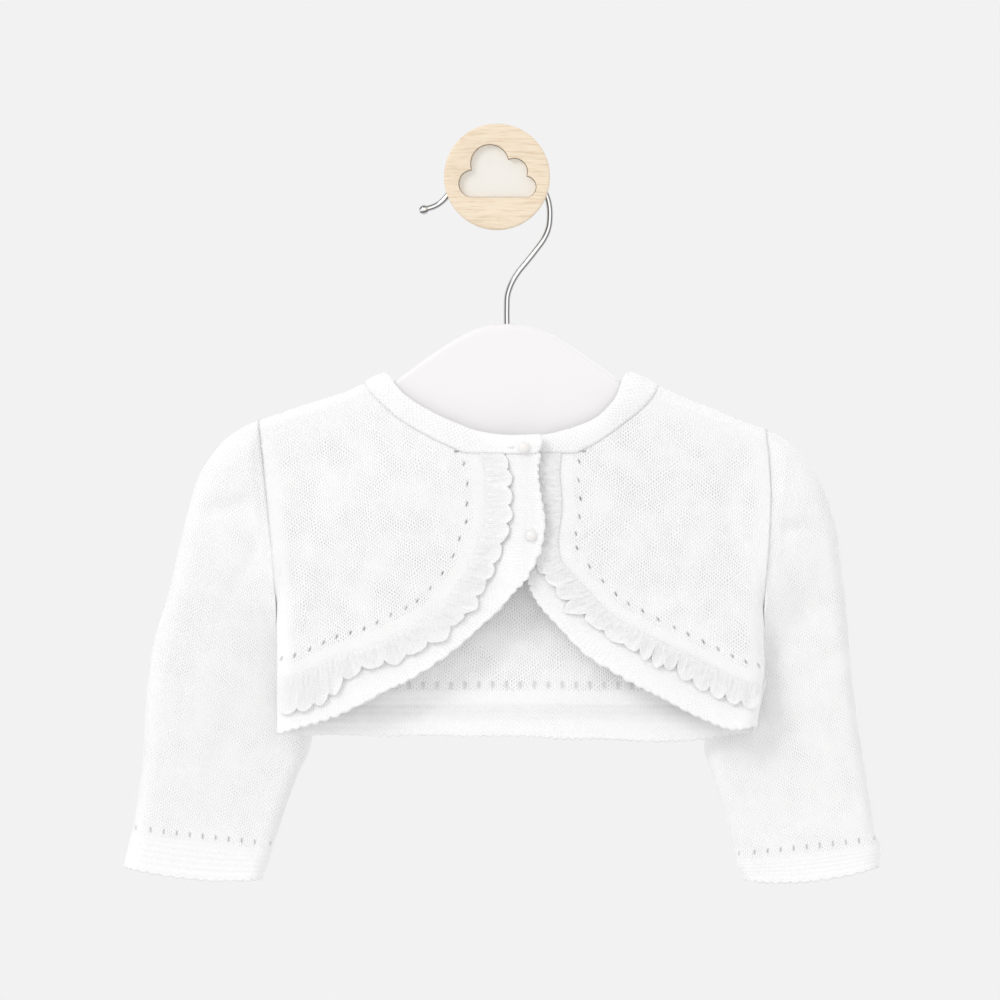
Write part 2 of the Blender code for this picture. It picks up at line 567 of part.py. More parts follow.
def neck_stretch(rows, shares, face, layer):
    """Lower and upper edge of one stretch of the neckband, and the panels' normals along it."""
    line = through(rows, shares)
    lower_y = body_y(line[:, 0], line[:, 1], face)
    if layer:
        lower_y = lower_y + lap_offset(line[:, 0], layer)
    low = np.stack([line[:, 0], lower_y, line[:, 1]], axis=1)
    high = np.stack([line[:, 2], line[:, 4], line[:, 3]], axis=1)
    width = np.linalg.norm(high - low, axis=1, keepdims=True)
    normal = seam_normals(line[:, 0], line[:, 1], face)
    return np.stack([low + (high - low) * SEAM / width, high, normal], axis=1)


def neckband(material):
    """One band round the neck, its lower edge along the panels and its middle crowned."""
    stretches = [
        neck_stretch(NECK_LAP, np.linspace(0.0, 1.0, 8), -1, -1),
        neck_stretch(RIGHT_NECK[::-1], FRONT_NECK_SHARES, -1, -1)[::-1][1:],
        neck_stretch(BACK_NECK, BACK_NECK_SHARES, 1, 0)[1:-1],
        neck_stretch(LEFT_NECK, FRONT_NECK_SHARES, -1, 1),
        neck_stretch(NECK_TUCK, np.linspace(0.0, 1.0, 5), -1, 1)[1:],
    ]
    edges = np.concatenate(stretches)
    out = np.linspace(0.0, 1.0, 4)[None, :, None]
    grid = edges[:, 0][:, None] + (edges[:, 1] - edges[:, 0])[:, None] * out
    middle = np.array([HANGER_X, HANG_Y, -112.0])
    normals = facing(grid_normals(grid), grid - middle)
    grid = grid + normals * NECKBAND_CROWN * np.sin(out * math.pi)
    normals = facing(grid_normals(grid), grid - middle)
    normals[:, 0] = edges[:, 2]
    crest = np.abs(grid[:, 0, 1] - HANG_Y) < 1.0
    normals[crest, 0, 1] = 0.0
    normals /= np.linalg.norm(normals, axis=2, keepdims=True)
    return add_mesh("neckband", *wall_sheet(grid, normals, CLOTH), material)


def ring_shares(count):
    """Share of the way from the outer to the inner end, and which side, for points round a ring."""
    angles = np.arange(count) * 2 * math.pi / count
    return (1 - np.cos(angles)) / 2, np.sign(np.sin(angles).round(6))


def tube_rings(lines, count, sag=0.0):
    """Rings of a flat, round-ended tube, one for each row of a sleeve's table."""
    share, face = ring_shares(count)
    outer = lines[:, None, [0, 2, 1]]
    inner = lines[:, None, [4, 6, 5]]
    length = np.linalg.norm((inner - outer)[..., [0, 2]], axis=2)
    half = lines[:, 3][:, None] + (lines[:, 7] - lines[:, 3])[:, None] * share[None]
    hold = lines[:, 8][:, None]
    near_end = np.minimum(share, 1 - share)[None] * length
    depth = half * rise(near_end, half)
    bend = lines[:, None, [9, 6, 10]]
    s = share[None, :, None]
    rings = outer * (1 - s) ** 2 + bend * 2 * s * (1 - s) + inner * s ** 2
    back = ease((share[None] - hold) / (1.0 - hold))
    rings[..., 1] = outer[..., 1] + (inner - outer)[..., 1] * back - face[None] * depth
    rings[..., 2] -= sag * np.sin(math.pi * share)[None] * np.linspace(0.0, 1.0, len(lines))[:, None]
    return rings


def armhole_ring(side, count):
    """First ring of a sleeve, along the armhole edges of front and back."""
    share, face = ring_shares(count)
    top_z = shoulder_z(side_x(SIDE_LINES[-1][0], side))
    z = top_z + (UNDERARM_Z - top_z) * share
    x = side_x(z, side)
    front = body_y(x, z, -1)
    back = body_y(x, z, 1)
    y = np.where(face > 0, front, np.where(face < 0, back, HANG_Y))
    return np.stack([x + side * ARMHOLE_GAP, y, z], axis=1)


def sleeve(name, side, rows, folds, material):
    """A sleeve through its armhole ring and the rings of its table, with its folds."""
    lines = through(rows, np.linspace(0.0, 1.0, 16), lead=6)
    rings = tube_rings(lines, SLEEVE_SIDES)
    grid = np.concatenate([armhole_ring(side, SLEEVE_SIDES)[None], rings])
    centre = grid.mean(axis=1, keepdims=True)
    normals = facing(grid_normals(grid, closed=True), grid - centre)
    grid[1:] = press_folds(grid, normals, folds)[1:]
    normals = facing(grid_normals(grid, closed=True), grid - centre)
    normals[0, :, 0] = 0.0
    normals[0] /= np.linalg.norm(normals[0], axis=1, keepdims=True)
    return add_mesh(name, *wall_tube(grid, normals, CLOTH), material)


def cuff(name, rows, material):
    """A cuff that carries on from the sleeve's last ring."""
    lines = through(rows, np.linspace(0.0, 1.0, 4), lead=6)
    grid = tube_rings(lines, SLEEVE_SIDES, CUFF_BULGE)
    centre = grid.mean(axis=1, keepdims=True)
    normals = facing(grid_normals(grid, closed=True), grid - centre)
    return add_mesh(name, *wall_tube(grid, normals, CLOTH), material)


def button(name, x, z, stand, material):
    """A half-round pearl button that sits flat on the lap."""
    sides = 16
    seat = body_y(np.array(x), np.array(z), -1) - LAP_LIFT - stand - SEAM
    angles = np.arange(sides) * 2 * math.pi / sides
    points = []
    for height, share in BUTTON_PROFILE:
        ring_y = seat - height * BUTTON_HEIGHT
        for angle in angles:
            points.append((x + BUTTON_RADIUS * share * math.cos(angle), ring_y,
                           z + BUTTON_RADIUS * share * math.sin(angle)))
    faces = grid_faces(len(BUTTON_PROFILE), sides, 0, True, False)
    faces.append(tuple(range(sides)))
    points.append((x, seat - BUTTON_HEIGHT, z))
    last = (len(BUTTON_PROFILE) - 1) * sides
    for j in range(sides):
        faces.append((last + j, last + (j + 1) % sides, len(points) - 1))
    return add_mesh(name, np.array(points), faces, material, 60.0)


def prism(name, outline, front_y, back_y, material, sharp_degrees=35.0):
    """A flat plate: an outline of x and z carried from its back to its front."""
    count = len(outline)
    points = [(x, back_y, z) for x, z in outline] + [(x, front_y, z) for x, z in outline]
    faces = [tuple(range(count)), tuple(range(2 * count - 1, count - 1, -1))]
    for j in range(count):
        k = (j + 1) % count
        faces.append((j, k, count + k, count + j))
    return add_mesh(name, np.array(points), faces, material, sharp_degrees)


def hide_cutter(item):
    """Keep a cutter out of the model."""
    item.hide_render = True
    item.display_type = "WIRE"


def cut(item, cutter):
    """Take the cutter's volume out of an object."""
    modifier = item.modifiers.new("cut", "BOOLEAN")
    modifier.operation = "DIFFERENCE"
    modifier.solver = "EXACT"
    modifier.object = cutter
    hide_cutter(cutter)


def circle(x, z, radius, count):
    """Outline of a circle."""
    angles = np.arange(count) * 2 * math.pi / count
    return [(x + radius * math.cos(a), z + radius * math.sin(a)) for a in angles]


def hanger(material):
    """The flat hanger: both halves of its outline, rounded edges, and a socket for the hook."""
    top = through(HANGER_TOP, np.linspace(0.0, 1.0, 20))
    low = through(HANGER_LOW, np.linspace(0.0, 1.0, 10))
    half = np.concatenate([top, low])
    right = [(HANGER_X - x, z) for x, z in half]
    left = [(HANGER_X + x, z) for x, z in half[1:-1]]
    outline = right + left[::-1]
    item = prism("hanger_body", outline, HANG_Y - HANGER_THICKNESS / 2,
                 HANG_Y + HANGER_THICKNESS / 2, material)
    bevel = item.modifiers.new("rounded edge", "BEVEL")
    bevel.width = HANGER_ROUND * MM
    bevel.segments = 2
    bevel.limit_method = "ANGLE"
    bevel.angle_limit = math.radians(60.0)
    socket_z = HANGER_TOP[0][1] - HOOK_SOCKET_DEPTH
    socket = upright_rod("hook_socket", HOOK_STEM[0][0], socket_z, WIRE_RADIUS + SEAM,
                         HOOK_SOCKET_DEPTH + CUTTER_PAST, material)
    cut(item, socket)
    return item


def upright_rod(name, x, low_z, radius, height, material):
    """A round rod that stands in the hanger's plane."""
    sides = 16
    angles = np.arange(sides) * 2 * math.pi / sides
    points = [(x + radius * math.cos(a), HANG_Y + radius * math.sin(a), low_z) for a in angles]
    points += [(px, py, low_z + height) for px, py, _ in points]
    faces = [tuple(range(sides)), tuple(range(2 * sides - 1, sides - 1, -1))]
    for j in range(sides):
        k = (j + 1) % sides
        faces.append((j, k, sides + k, sides + j))
    return add_mesh(name, np.array(points), faces, material)


def hook_path():
    """The wire's middle line: stem, a round of the loop, and the flared tip."""
    turns = np.radians(np.linspace(HOOK_FROM_DEGREES, HOOK_TO_DEGREES, 18))
    loop = [(HOOK_CENTRE[0] + HOOK_RADIUS * math.cos(a), HOOK_CENTRE[1] + HOOK_RADIUS * math.sin(a))
            for a in turns]
    return through(HOOK_STEM + loop + HOOK_TIP, np.linspace(0.0, 1.0, 44))


def hook_wire(material):
    """Round wire along the path, closed by a flat end in the socket and a ball at the tip."""
    sides = 8
    path = hook_path()
    tangent = np.gradient(path, axis=0)
    tangent /= np.linalg.norm(tangent, axis=1, keepdims=True)
    radii = np.full(len(path), WIRE_RADIUS)
    end = path[-1]
    ahead = tangent[-1]
    ball = np.linspace(-0.62, 0.93, 6)
    ball_path = end + ahead * (ball[:, None] + 0.75) * BALL_RADIUS
    path = np.concatenate([path, ball_path])
    tangent = np.concatenate([tangent, np.repeat(ahead[None], len(ball), axis=0)])
    radii = np.concatenate([radii, BALL_RADIUS * np.sqrt(1 - ball ** 2)])
    side = np.stack([tangent[:, 1], -tangent[:, 0]], axis=1)
    angles = np.arange(sides) * 2 * math.pi / sides
    points = []
    for centre, across, radius in zip(path, side, radii):
        for angle in angles:
            reach = radius * math.cos(angle)
            points.append((centre[0] + across[0] * reach, HANG_Y + radius * math.sin(angle),
                           centre[1] + across[1] * reach))
    faces = grid_faces(len(path), sides, 0, True, False)
    faces.append(tuple(range(sides)))
    faces.append(tuple(range(len(points) - 1, len(points) - sides - 1, -1)))
    return add_mesh("hook_wire", np.array(points), faces, material, 60.0)


def cloud_outline(inset, count=60):
    """Outline of the cloud: the farthest lobe in each direction, cut off at the flat base."""
    centre_x, centre_z = CLOUD_CENTRE
    outline = []
    for step in range(count):
        angle = 2 * math.pi * step / count
        ray_x, ray_z = math.cos(angle), math.sin(angle)
        reach = 0.0
        for lobe_x, lobe_z, radius in CLOUD_LOBES:
            to_x, to_z = lobe_x - centre_x, lobe_z - centre_z
            near = to_x * ray_x + to_z * ray_z
            miss = (radius - inset) ** 2 - (to_x ** 2 + to_z ** 2 - near ** 2)
            if miss > 0:
                reach = max(reach, near + math.sqrt(miss))
        if ray_z < 0:
            to_base = (CLOUD_BASE_Z + inset - centre_z) / ray_z
            base_x = centre_x + ray_x * to_base
            on_base = CLOUD_BASE_X[0] < base_x < CLOUD_BASE_X[1]
            reach = to_base if on_base else min(reach, to_base)
        outline.append((centre_x + ray_x * reach, centre_z + ray_z * reach))
    return outline


def wall_peg(wood, white):
    """Disc with its cloud recess, the inlay on the recess's floor, and the dowel to the wall."""
    front_y = DISC_BACK_Y - DISC_THICKNESS
    floor_y = front_y + RECESS_DEPTH
    disc = prism("peg_disc", circle(0.0, 0.0, DISC_RADIUS, 48), front_y, DISC_BACK_Y, wood)
    bevel = disc.modifiers.new("eased edge", "BEVEL")
    bevel.width = DISC_ROUND * MM
    bevel.segments = 2
    bevel.limit_method = "ANGLE"
    bevel.angle_limit = math.radians(60.0)
    cut(disc, prism("cloud_cutter", cloud_outline(0.0), front_y - CUTTER_PAST, floor_y, wood))
    inlay_back = floor_y - SEAM
    prism("cloud_inlay", cloud_outline(SEAM), inlay_back - INLAY_THICKNESS, inlay_back, white)
    prism("peg_dowel", circle(0.0, 0.0, DOWEL_RADIUS, 24), DISC_BACK_Y + SEAM, 0.0, wood)


def build():
    """Make every piece."""
    clear_scene()
    cotton = make_material("white_cotton_knit", (0.93, 0.93, 0.93), 0.9)
    pearl = make_material("pearl", (0.92, 0.91, 0.88), 0.2)
    plastic = make_material("white_plastic", (0.92, 0.92, 0.92), 0.45)
    chrome = make_material("chrome_wire", (0.75, 0.75, 0.76), 0.12, 1.0)
    wood = make_material("pale_wood", (0.83, 0.68, 0.48), 0.6)
    white = make_material("white_inlay", (0.88, 0.87, 0.85), 0.6)
    back_panel(cotton)
    front_panel("right_front", -1, RIGHT_NECK[::-1], RIGHT_BORDER, cotton)
    front_panel("left_front", 1, LEFT_NECK, LEFT_BORDER, cotton)
    sleeve("right_sleeve", -1, RIGHT_SLEEVE, RIGHT_SLEEVE_FOLDS, cotton)
    sleeve("left_sleeve", 1, LEFT_SLEEVE, LEFT_SLEEVE_FOLDS, cotton)
    cuff("right_cuff", RIGHT_CUFF, cotton)
    cuff("left_cuff", LEFT_CUFF, cotton)
    neckband(cotton)
    border_band("right_front_band", RIGHT_BORDER, 36, 6, -1, -1, cotton)
    border_band("left_front_band", LEFT_BORDER, 36, 6, -1, 1, cotton)
    border_band("back_hem_band", BACK_HEM, 33, 4, 1, 0, cotton)
    border_frill("right_frill", RIGHT_BORDER, FRONT_LOBES, -1, -1, FRONT_FRILL_ENDS, cotton)
    border_frill("left_frill", LEFT_BORDER, FRONT_LOBES, -1, 1, FRONT_FRILL_ENDS, cotton)
    border_frill("back_frill", BACK_HEM, BACK_LOBES, 1, 0, BACK_FRILL_ENDS, cotton)
    for name, x, z, stand in BUTTONS:
        button(name, x, z, stand, pearl)
    hanger(plastic)
    hook_wire(chrome)
    wall_peg(wood, white)


build()
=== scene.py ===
"""A baby's white knitted bolero cardigan on a child's hanger, hung from a round wooden wall peg.

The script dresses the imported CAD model, piece by piece in the order the real thing is put
together. Lengths in the tables are millimetres and become metres as each mesh is made.
+Z is up, the front faces -Y, and right and left are the wearer's (right is at -X).
"""
import math

import bmesh
import bpy
import numpy as np
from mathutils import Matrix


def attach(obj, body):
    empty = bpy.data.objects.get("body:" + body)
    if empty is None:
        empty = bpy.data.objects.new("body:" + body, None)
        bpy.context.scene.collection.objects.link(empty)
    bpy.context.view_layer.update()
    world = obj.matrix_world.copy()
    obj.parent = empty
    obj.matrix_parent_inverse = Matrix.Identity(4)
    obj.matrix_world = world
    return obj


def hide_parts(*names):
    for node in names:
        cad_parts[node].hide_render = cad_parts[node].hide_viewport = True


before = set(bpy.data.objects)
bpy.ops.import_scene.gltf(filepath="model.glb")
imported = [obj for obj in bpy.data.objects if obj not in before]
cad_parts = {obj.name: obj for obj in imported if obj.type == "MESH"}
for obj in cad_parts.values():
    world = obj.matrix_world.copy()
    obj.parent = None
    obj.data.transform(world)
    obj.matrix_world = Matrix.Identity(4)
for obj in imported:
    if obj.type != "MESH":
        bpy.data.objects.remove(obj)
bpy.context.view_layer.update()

# Camera, light and floor. The photograph is a straight front view with a long lens: one pixel is
# half a millimetre at the cardigan's front. A pale even surround, a soft light from the upper
# left, a fill from the front and a light behind give its faint shading.
MM = 0.001
VIEW_PLANE_Y = -0.045
VIEW_CENTRE = (1.5, -161.5)
VIEW_DISTANCE = 3.475
VIEW_LENS = 250.0
camera_data = bpy.data.cameras.new("camera")
camera_data.lens = VIEW_LENS
camera = bpy.data.objects.new("camera", camera_data)
camera.location = (VIEW_CENTRE[0] * MM, VIEW_PLANE_Y - VIEW_DISTANCE, VIEW_CENTRE[1] * MM)
camera.rotation_euler = (math.radians(90.0), 0.0, 0.0)
bpy.context.scene.collection.objects.link(camera)
bpy.context.scene.camera = camera
bpy.context.scene.view_settings.view_transform = "Standard"

world = bpy.data.worlds.new("pale surround")
world.use_nodes = True
SURROUND = 0.888
world.node_tree.nodes["Background"].inputs["Color"].default_value = (SURROUND, SURROUND, SURROUND, 1.0)
world.node_tree.nodes["Background"].inputs["Strength"].default_value = 1.0
bpy.context.scene.world = world


def soft_light(name, place, aim, size, power):
    """A square area light that shines from place towards aim."""
    data = bpy.data.lights.new(name, "AREA")
    data.size = size
    data.energy = power
    item = bpy.data.objects.new(name, data)
    item.location = place
    way = np.array(aim) - np.array(place)
    item.rotation_euler = (math.atan2(math.hypot(way[0], way[1]), -way[2]), 0.0,
                           math.atan2(way[1], way[0]) - math.radians(90.0))
    bpy.context.scene.collection.objects.link(item)


LIGHT_AIM = (0.0, 0.0, -0.2)
soft_light("key light", (-1.5, -1.9, 1.3), LIGHT_AIM, 0.9, 18.0)
soft_light("front fill", (0.5, -2.7, 0.3), LIGHT_AIM, 2.0, 3.6)
soft_light("back light", (1.2, 1.8, 1.2), LIGHT_AIM, 1.2, 8.0)


def fill(material, node, sockets):
    """Give a node's inputs their values: a number, a colour or the output that feeds them."""
    for place, value in sockets.items():
        if isinstance(value, bpy.types.NodeSocket):
            material.node_tree.links.new(value, node.inputs[place])
        else:
            node.inputs[place].default_value = value


def fill_shader(material, sockets):
    """Give inputs of the material's own shader their values."""
    fill(material, material.node_tree.nodes["Principled BSDF"], sockets)


def add_node(material, kind, sockets, **settings):
    """A new shader node with its settings and inputs."""
    node = material.node_tree.nodes.new("ShaderNode" + kind)
    for name, value in settings.items():
        setattr(node, name, value)
    fill(material, node, sockets)
    return node


def plain_material(name, colour, roughness):
    """Principled material of one colour."""
    material = bpy.data.materials.new(name)
    material.use_nodes = True
    fill_shader(material, {"Base Color": (*colour, 1.0), "Roughness": roughness})
    return material


def noise(material, scale, detail):
    """Noise of a given scale on the object's own coordinates."""
    place = add_node(material, "TexCoord", {}).outputs["Object"]
    return add_node(material, "TexNoise", {"Vector": place, "Scale": scale, "Detail": detail})


def colour_ramp(material, factor, stops):
    """Colours over a socket that runs from 0 to 1; each stop is its place and its colour."""
    node = add_node(material, "ValToRGB", {"Fac": factor})
    elements = node.color_ramp.elements
    for element, (place, colour) in zip(elements, (stops[0], stops[-1])):
        element.position = place
        element.color = (*colour, 1.0)
    for place, colour in stops[1:-1]:
        elements.new(place).color = (*colour, 1.0)
    return node.outputs["Color"]


def add_relief(material, height, strength, depth):
    """Feed a socket to the shader as fine relief of a depth in metres."""
    bump = add_node(material, "Bump", {"Height": height, "Strength": strength, "Distance": depth})
    fill_shader(material, {"Normal": bump.outputs["Normal"]})


FLOOR_Z = -0.9
floor_mesh = bpy.data.meshes.new("floor")
floor_corners = [(-3, -3, FLOOR_Z), (3, -3, FLOOR_Z), (3, 3, FLOOR_Z), (-3, 3, FLOOR_Z)]
floor_mesh.from_pydata(floor_corners, [], [(0, 1, 2, 3)])
floor = bpy.data.objects.new("floor", floor_mesh)
floor.data.materials.append(plain_material("pale_floor", (0.8, 0.8, 0.8), 0.9))
bpy.context.scene.collection.objects.link(floor)

# The knitted cloth itself: fine white cotton in plain knit, a stitch 2.3 mm wide and 1.8 mm
# tall. Every cloth piece below is a surface over two parameters, given a wall of 1.5 mm, or of
# 0.7 mm at the frills.
STITCH_WIDE = 2.3
STITCH_TALL = 1.77
CLOTH = 1.5
WELD = 0.02
# Painted shade: the dark grey that the white is mixed towards in the gaps between stitches.
PAINTED_GAP_SHADE = (0.25, 0.25, 0.26, 1.0)


def rise(distance, reach):
    """Quarter circle that climbs from 0 at the edge to 1 at the given reach."""
    share = np.clip(distance / reach, 0.0, 1.0)
    return np.sqrt(1.0 - (1.0 - share) ** 2)


def ease(share):
    """Soft step from 0 to 1, three times the square less twice the cube."""
    share = np.clip(share, 0.0, 1.0)
    return share * share * (3.0 - 2.0 * share)


def curve_through(rows, stations, lead=2):
    """Cubic curve through the rows, whose slopes are those between neighbours; stations run
    from 0 to 1 along the chords of the lead columns."""
    rows = np.array(rows, dtype=float)
    steps = np.linalg.norm(np.diff(rows[:, :lead], axis=0), axis=1)
    knots = np.concatenate([[0.0], np.cumsum(steps)]) / steps.sum()
    slopes = np.gradient(rows, knots, axis=0)
    stations = np.asarray(stations, dtype=float)
    index = np.clip(np.searchsorted(knots, stations, side="right") - 1, 0, len(knots) - 2)
    width = (knots[index + 1] - knots[index])[..., None]
    t = (stations[..., None] - knots[index][..., None]) / width
    start = (2 * t ** 3 - 3 * t ** 2 + 1) * rows[index]
    start = start + (t ** 3 - 2 * t ** 2 + t) * width * slopes[index]
    end = (3 * t ** 2 - 2 * t ** 3) * rows[index + 1]
    end = end + (t ** 3 - t ** 2) * width * slopes[index + 1]
    return start + end


def table_length(rows):
    """Length of a table's first line, straight from row to row."""
    return np.linalg.norm(np.diff(np.array(rows)[:, :2], axis=0), axis=1).sum()


def grid_normals(grid, closed=False):
    """Unit normals of a grid of points, each the mean of its quads'; closed wraps its rows."""
    if closed:
        grid = np.concatenate([grid[:, -1:], grid, grid[:, :1]], axis=1)
    quad = np.cross(grid[1:, 1:] - grid[:-1, :-1], grid[:-1, 1:] - grid[1:, :-1])
    quad = quad / np.maximum(np.linalg.norm(quad, axis=2, keepdims=True), 1e-9)
    padded = np.pad(quad, ((1, 1), (1, 1), (0, 0)))
    normal = padded[1:, 1:] + padded[:-1, 1:] + padded[1:, :-1] + padded[:-1, :-1]
    if closed:
        normal = normal[:, 1:-1]
    return normal / np.maximum(np.linalg.norm(normal, axis=2, keepdims=True), 1e-9)


def outward_normals(grid, towards, closed=False):
    """A grid's unit normals, turned to the side that most of the directions given point to."""
    normals = grid_normals(grid, closed)
    return -normals if np.sum(normals * towards) < 0 else normals


def half_round(angle):
    """Share from 0 to 1 and back that a point carried round a circle has come across it."""
    return (1 - np.cos(angle)) / 2


def tube_side(angle):
    """1 on the front half of a tube, -1 on its back half and 0 at its two edges."""
    return np.sign(np.round(np.sin(angle), 6))


def walked(points):
    """Length along a line of points up to each of them."""
    return np.concatenate([[0.0], np.cumsum(np.linalg.norm(np.diff(points, axis=0), axis=1))])


def grid_quads(rows, columns, closed=False):
    """Corner numbers of a grid's quads, one row of four each."""
    number = np.arange(rows * columns).reshape(rows, columns)
    if closed:
        number = np.concatenate([number, number[:, :1]], axis=1)
    return np.stack([number[:-1, :-1], number[:-1, 1:], number[1:, 1:], number[1:, :-1]],
                    axis=-1).reshape(-1, 4)


def quad_mesh(name, points, quads, uv=None):
    """A mesh object from points in millimetres and quads; uv gives each corner's stitches."""
    mesh = bpy.data.meshes.new(name)
    mesh.vertices.add(len(points))
    mesh.vertices.foreach_set("co", (points * MM).astype(np.float32).ravel())
    mesh.loops.add(quads.size)
    mesh.loops.foreach_set("vertex_index", quads.astype(np.int32).ravel())
    mesh.polygons.add(len(quads))
    mesh.polygons.foreach_set("loop_start", np.arange(0, quads.size, 4, dtype=np.int32))
    mesh.polygons.foreach_set("loop_total", np.full(len(quads), 4, dtype=np.int32))
    mesh.update(calc_edges=True)
    if uv is not None:
        layer = mesh.uv_layers.new(name="stitches")
        layer.data.foreach_set("uv", uv.astype(np.float32).ravel())
    mesh.validate()
    mesh.shade_smooth()
    item = bpy.data.objects.new(name, mesh)
    bpy.context.scene.collection.objects.link(item)
    return item


def turn_outwards(points, quads, towards):
    """The quads, reversed if most face away from the directions given for their first corners."""
    corner = points[quads]
    normal = np.cross(corner[:, 2] - corner[:, 0], corner[:, 3] - corner[:, 1])
    agree = np.sum(normal * np.broadcast_to(towards, points.shape)[quads[:, 0]])
    return quads if agree >= 0 else quads[:, ::-1]


def patch(grid, uv, kind=0, closed=False):
    """A grid of points as one patch of a cloth sheet, with its stitch coordinates and material."""
    return grid.reshape(-1, 3), grid_quads(*grid.shape[:2], closed=closed), uv, kind


def weld(item):
    """Join the points of neighbouring patches where they meet."""
    work = bmesh.new()
    work.from_mesh(item.data)
    bmesh.ops.remove_doubles(work, verts=work.verts, dist=WELD * MM)
    work.to_mesh(item.data)
    work.free()


def hard_piece(name, grid, material, node, turns=None):
    """A hard piece in place of a solid, from closed rings of points, its faces turned outwards.
    Turns give each point's place round its ring, and become the stitch coordinates."""
    points = grid.reshape(-1, 3)
    quads = turn_outwards(points, grid_quads(*grid.shape[:2], closed=True), points - points.mean(axis=0))
    uv = None
    if turns is not None:
        corner = np.tile(turns, len(grid))[quads]
        corner = corner + (corner.max(axis=1, keepdims=True) - corner > 0.5)
        uv = np.stack([corner, 0.0 * corner], axis=-1)
    piece = quad_mesh(name, points, quads, uv)
    piece.data.materials.append(material)
    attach(piece, "root")
    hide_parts(node)
    return piece


def even_knit(points):
    """Openness of a knit that is the same all over."""
    return np.ones(len(points))


def cloth_sheet(name, patches, towards, wall, materials, openness=even_knit):
    """Join patches into one sheet of cloth with a wall inwards. A patch is points, quads, stitch
    coordinates and the number of its material, or one number for every quad."""
    points, quads, uvs, kinds, count = [], [], [], [], 0
    for patch_points, patch_quads, patch_uv, kind in patches:
        patch_quads = turn_outwards(patch_points, patch_quads, towards(patch_points))
        points.append(patch_points)
        quads.append(patch_quads + count)
        uvs.append(patch_uv[patch_quads])
        kinds.append(np.full(len(patch_quads), kind, dtype=np.int32))
        count += len(patch_points)
    item = quad_mesh(name, np.concatenate(points), np.concatenate(quads), np.concatenate(uvs))
    for material in materials:
        item.data.materials.append(material)
    item.data.polygons.foreach_set("material_index", np.concatenate(kinds))
    weld(item)
    spots = np.empty(len(item.data.vertices) * 3, dtype=np.float32)
    item.data.vertices.foreach_get("co", spots)
    field = item.data.attributes.new("openness", "FLOAT", "POINT")
    field.data.foreach_set("value", openness(spots.reshape(-1, 3) / MM).astype(np.float32))
    shell = item.modifiers.new("wall", "SOLIDIFY")
    shell.thickness = wall * MM
    shell.offset = -1.0
    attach(item, "root")
    return item


def front_way(points):
    """Every point faces the viewer."""
    return np.array([0.0, -1.0, 0.0])


def back_way(points):
    """Every point faces the wall."""
    return np.array([0.0, 1.0, 0.0])


def knit_material(name, gap_shade_share, relief, colour):
    """Plain knit from the stitch coordinates. Each stitch has two legs side by side, cos(4 pi u),
    and the small gaps between them lie half a course apart from one leg to the next,
    cos(2 pi u) cos(2 pi v). Where both are high the colour is painted with dark shade for the gap
    between the yarn, elsewhere it stands up."""
    material = plain_material(name, colour, 0.92)
    fill_shader(material, {
        "Specular IOR Level": 0.2, "Subsurface Weight": 0.5, "Subsurface Radius": (1.0, 1.0, 1.0),
        "Subsurface Scale": 0.0022, "Sheen Weight": 0.15, "Sheen Roughness": 0.6,
    })

    def maths(operation, *values, clamp=False):
        """A math node's value; numbers and sockets may be mixed."""
        sockets = dict(enumerate(values))
        node = add_node(material, "Math", sockets, operation=operation, use_clamp=clamp)
        return node.outputs["Value"]

    def times(first, second):
        """Product of two numbers or sockets."""
        return maths("MULTIPLY", first, second)

    wander = noise(material, 160.0, 3.0).outputs["Color"]
    stitches = add_node(material, "UVMap", {}, uv_map="stitches").outputs["UV"]
    nudge = add_node(material, "VectorMath", {0: wander, 1: (1.3, 1.6, 0.0), 2: stitches},
                     operation="MULTIPLY_ADD")
    split = add_node(material, "SeparateXYZ", {"Vector": nudge.outputs["Vector"]})
    across = times(split.outputs["X"], 2 * math.pi)
    down = times(split.outputs["Y"], 2 * math.pi)
    legs = maths("COSINE", times(across, 2.0))
    lattice = times(maths("COSINE", across), maths("COSINE", down))
    hollow = maths("ADD", times(lattice, 0.45), times(legs, 0.55))
    openness = add_node(material, "Attribute", {}, attribute_name="openness").outputs["Fac"]
    patchy = maths("SUBTRACT", times(noise(material, 70.0, 3.0).outputs["Fac"], 3.4), 0.7)
    uneven = times(maths("MAXIMUM", patchy, 0.15), openness)
    depth = maths("POWER", times(maths("ADD", hollow, 1.0), 0.5), 3.0)
    # Painted shade in the stitch gaps, uneven in patches and weaker where the knit is closer.
    gap = maths("MULTIPLY", times(depth, uneven), gap_shade_share, clamp=True)
    mix = add_node(material, "Mix", {0: gap, 6: (*colour, 1.0), 7: PAINTED_GAP_SHADE}, data_type="RGBA")
    fill_shader(material, {"Base Color": mix.outputs[2]})
    fuzz = times(noise(material, 2600.0, 3.0).outputs["Fac"], 0.5)
    add_relief(material, maths("SUBTRACT", fuzz, hollow), 0.7, relief * MM)
    return material


panel_knit = knit_material("white_plain_knit", 0.42, 0.14, (0.975, 0.975, 0.975))
border_knit = knit_material("white_close_knit", 0.12, 0.12, (0.955, 0.955, 0.955))
# Grey painted shade for the yarn round the eyelet holes and in the buttonhole slot.
painted_hole_shade = plain_material("painted_shade_in_holes", (0.78, 0.78, 0.78), 0.95)

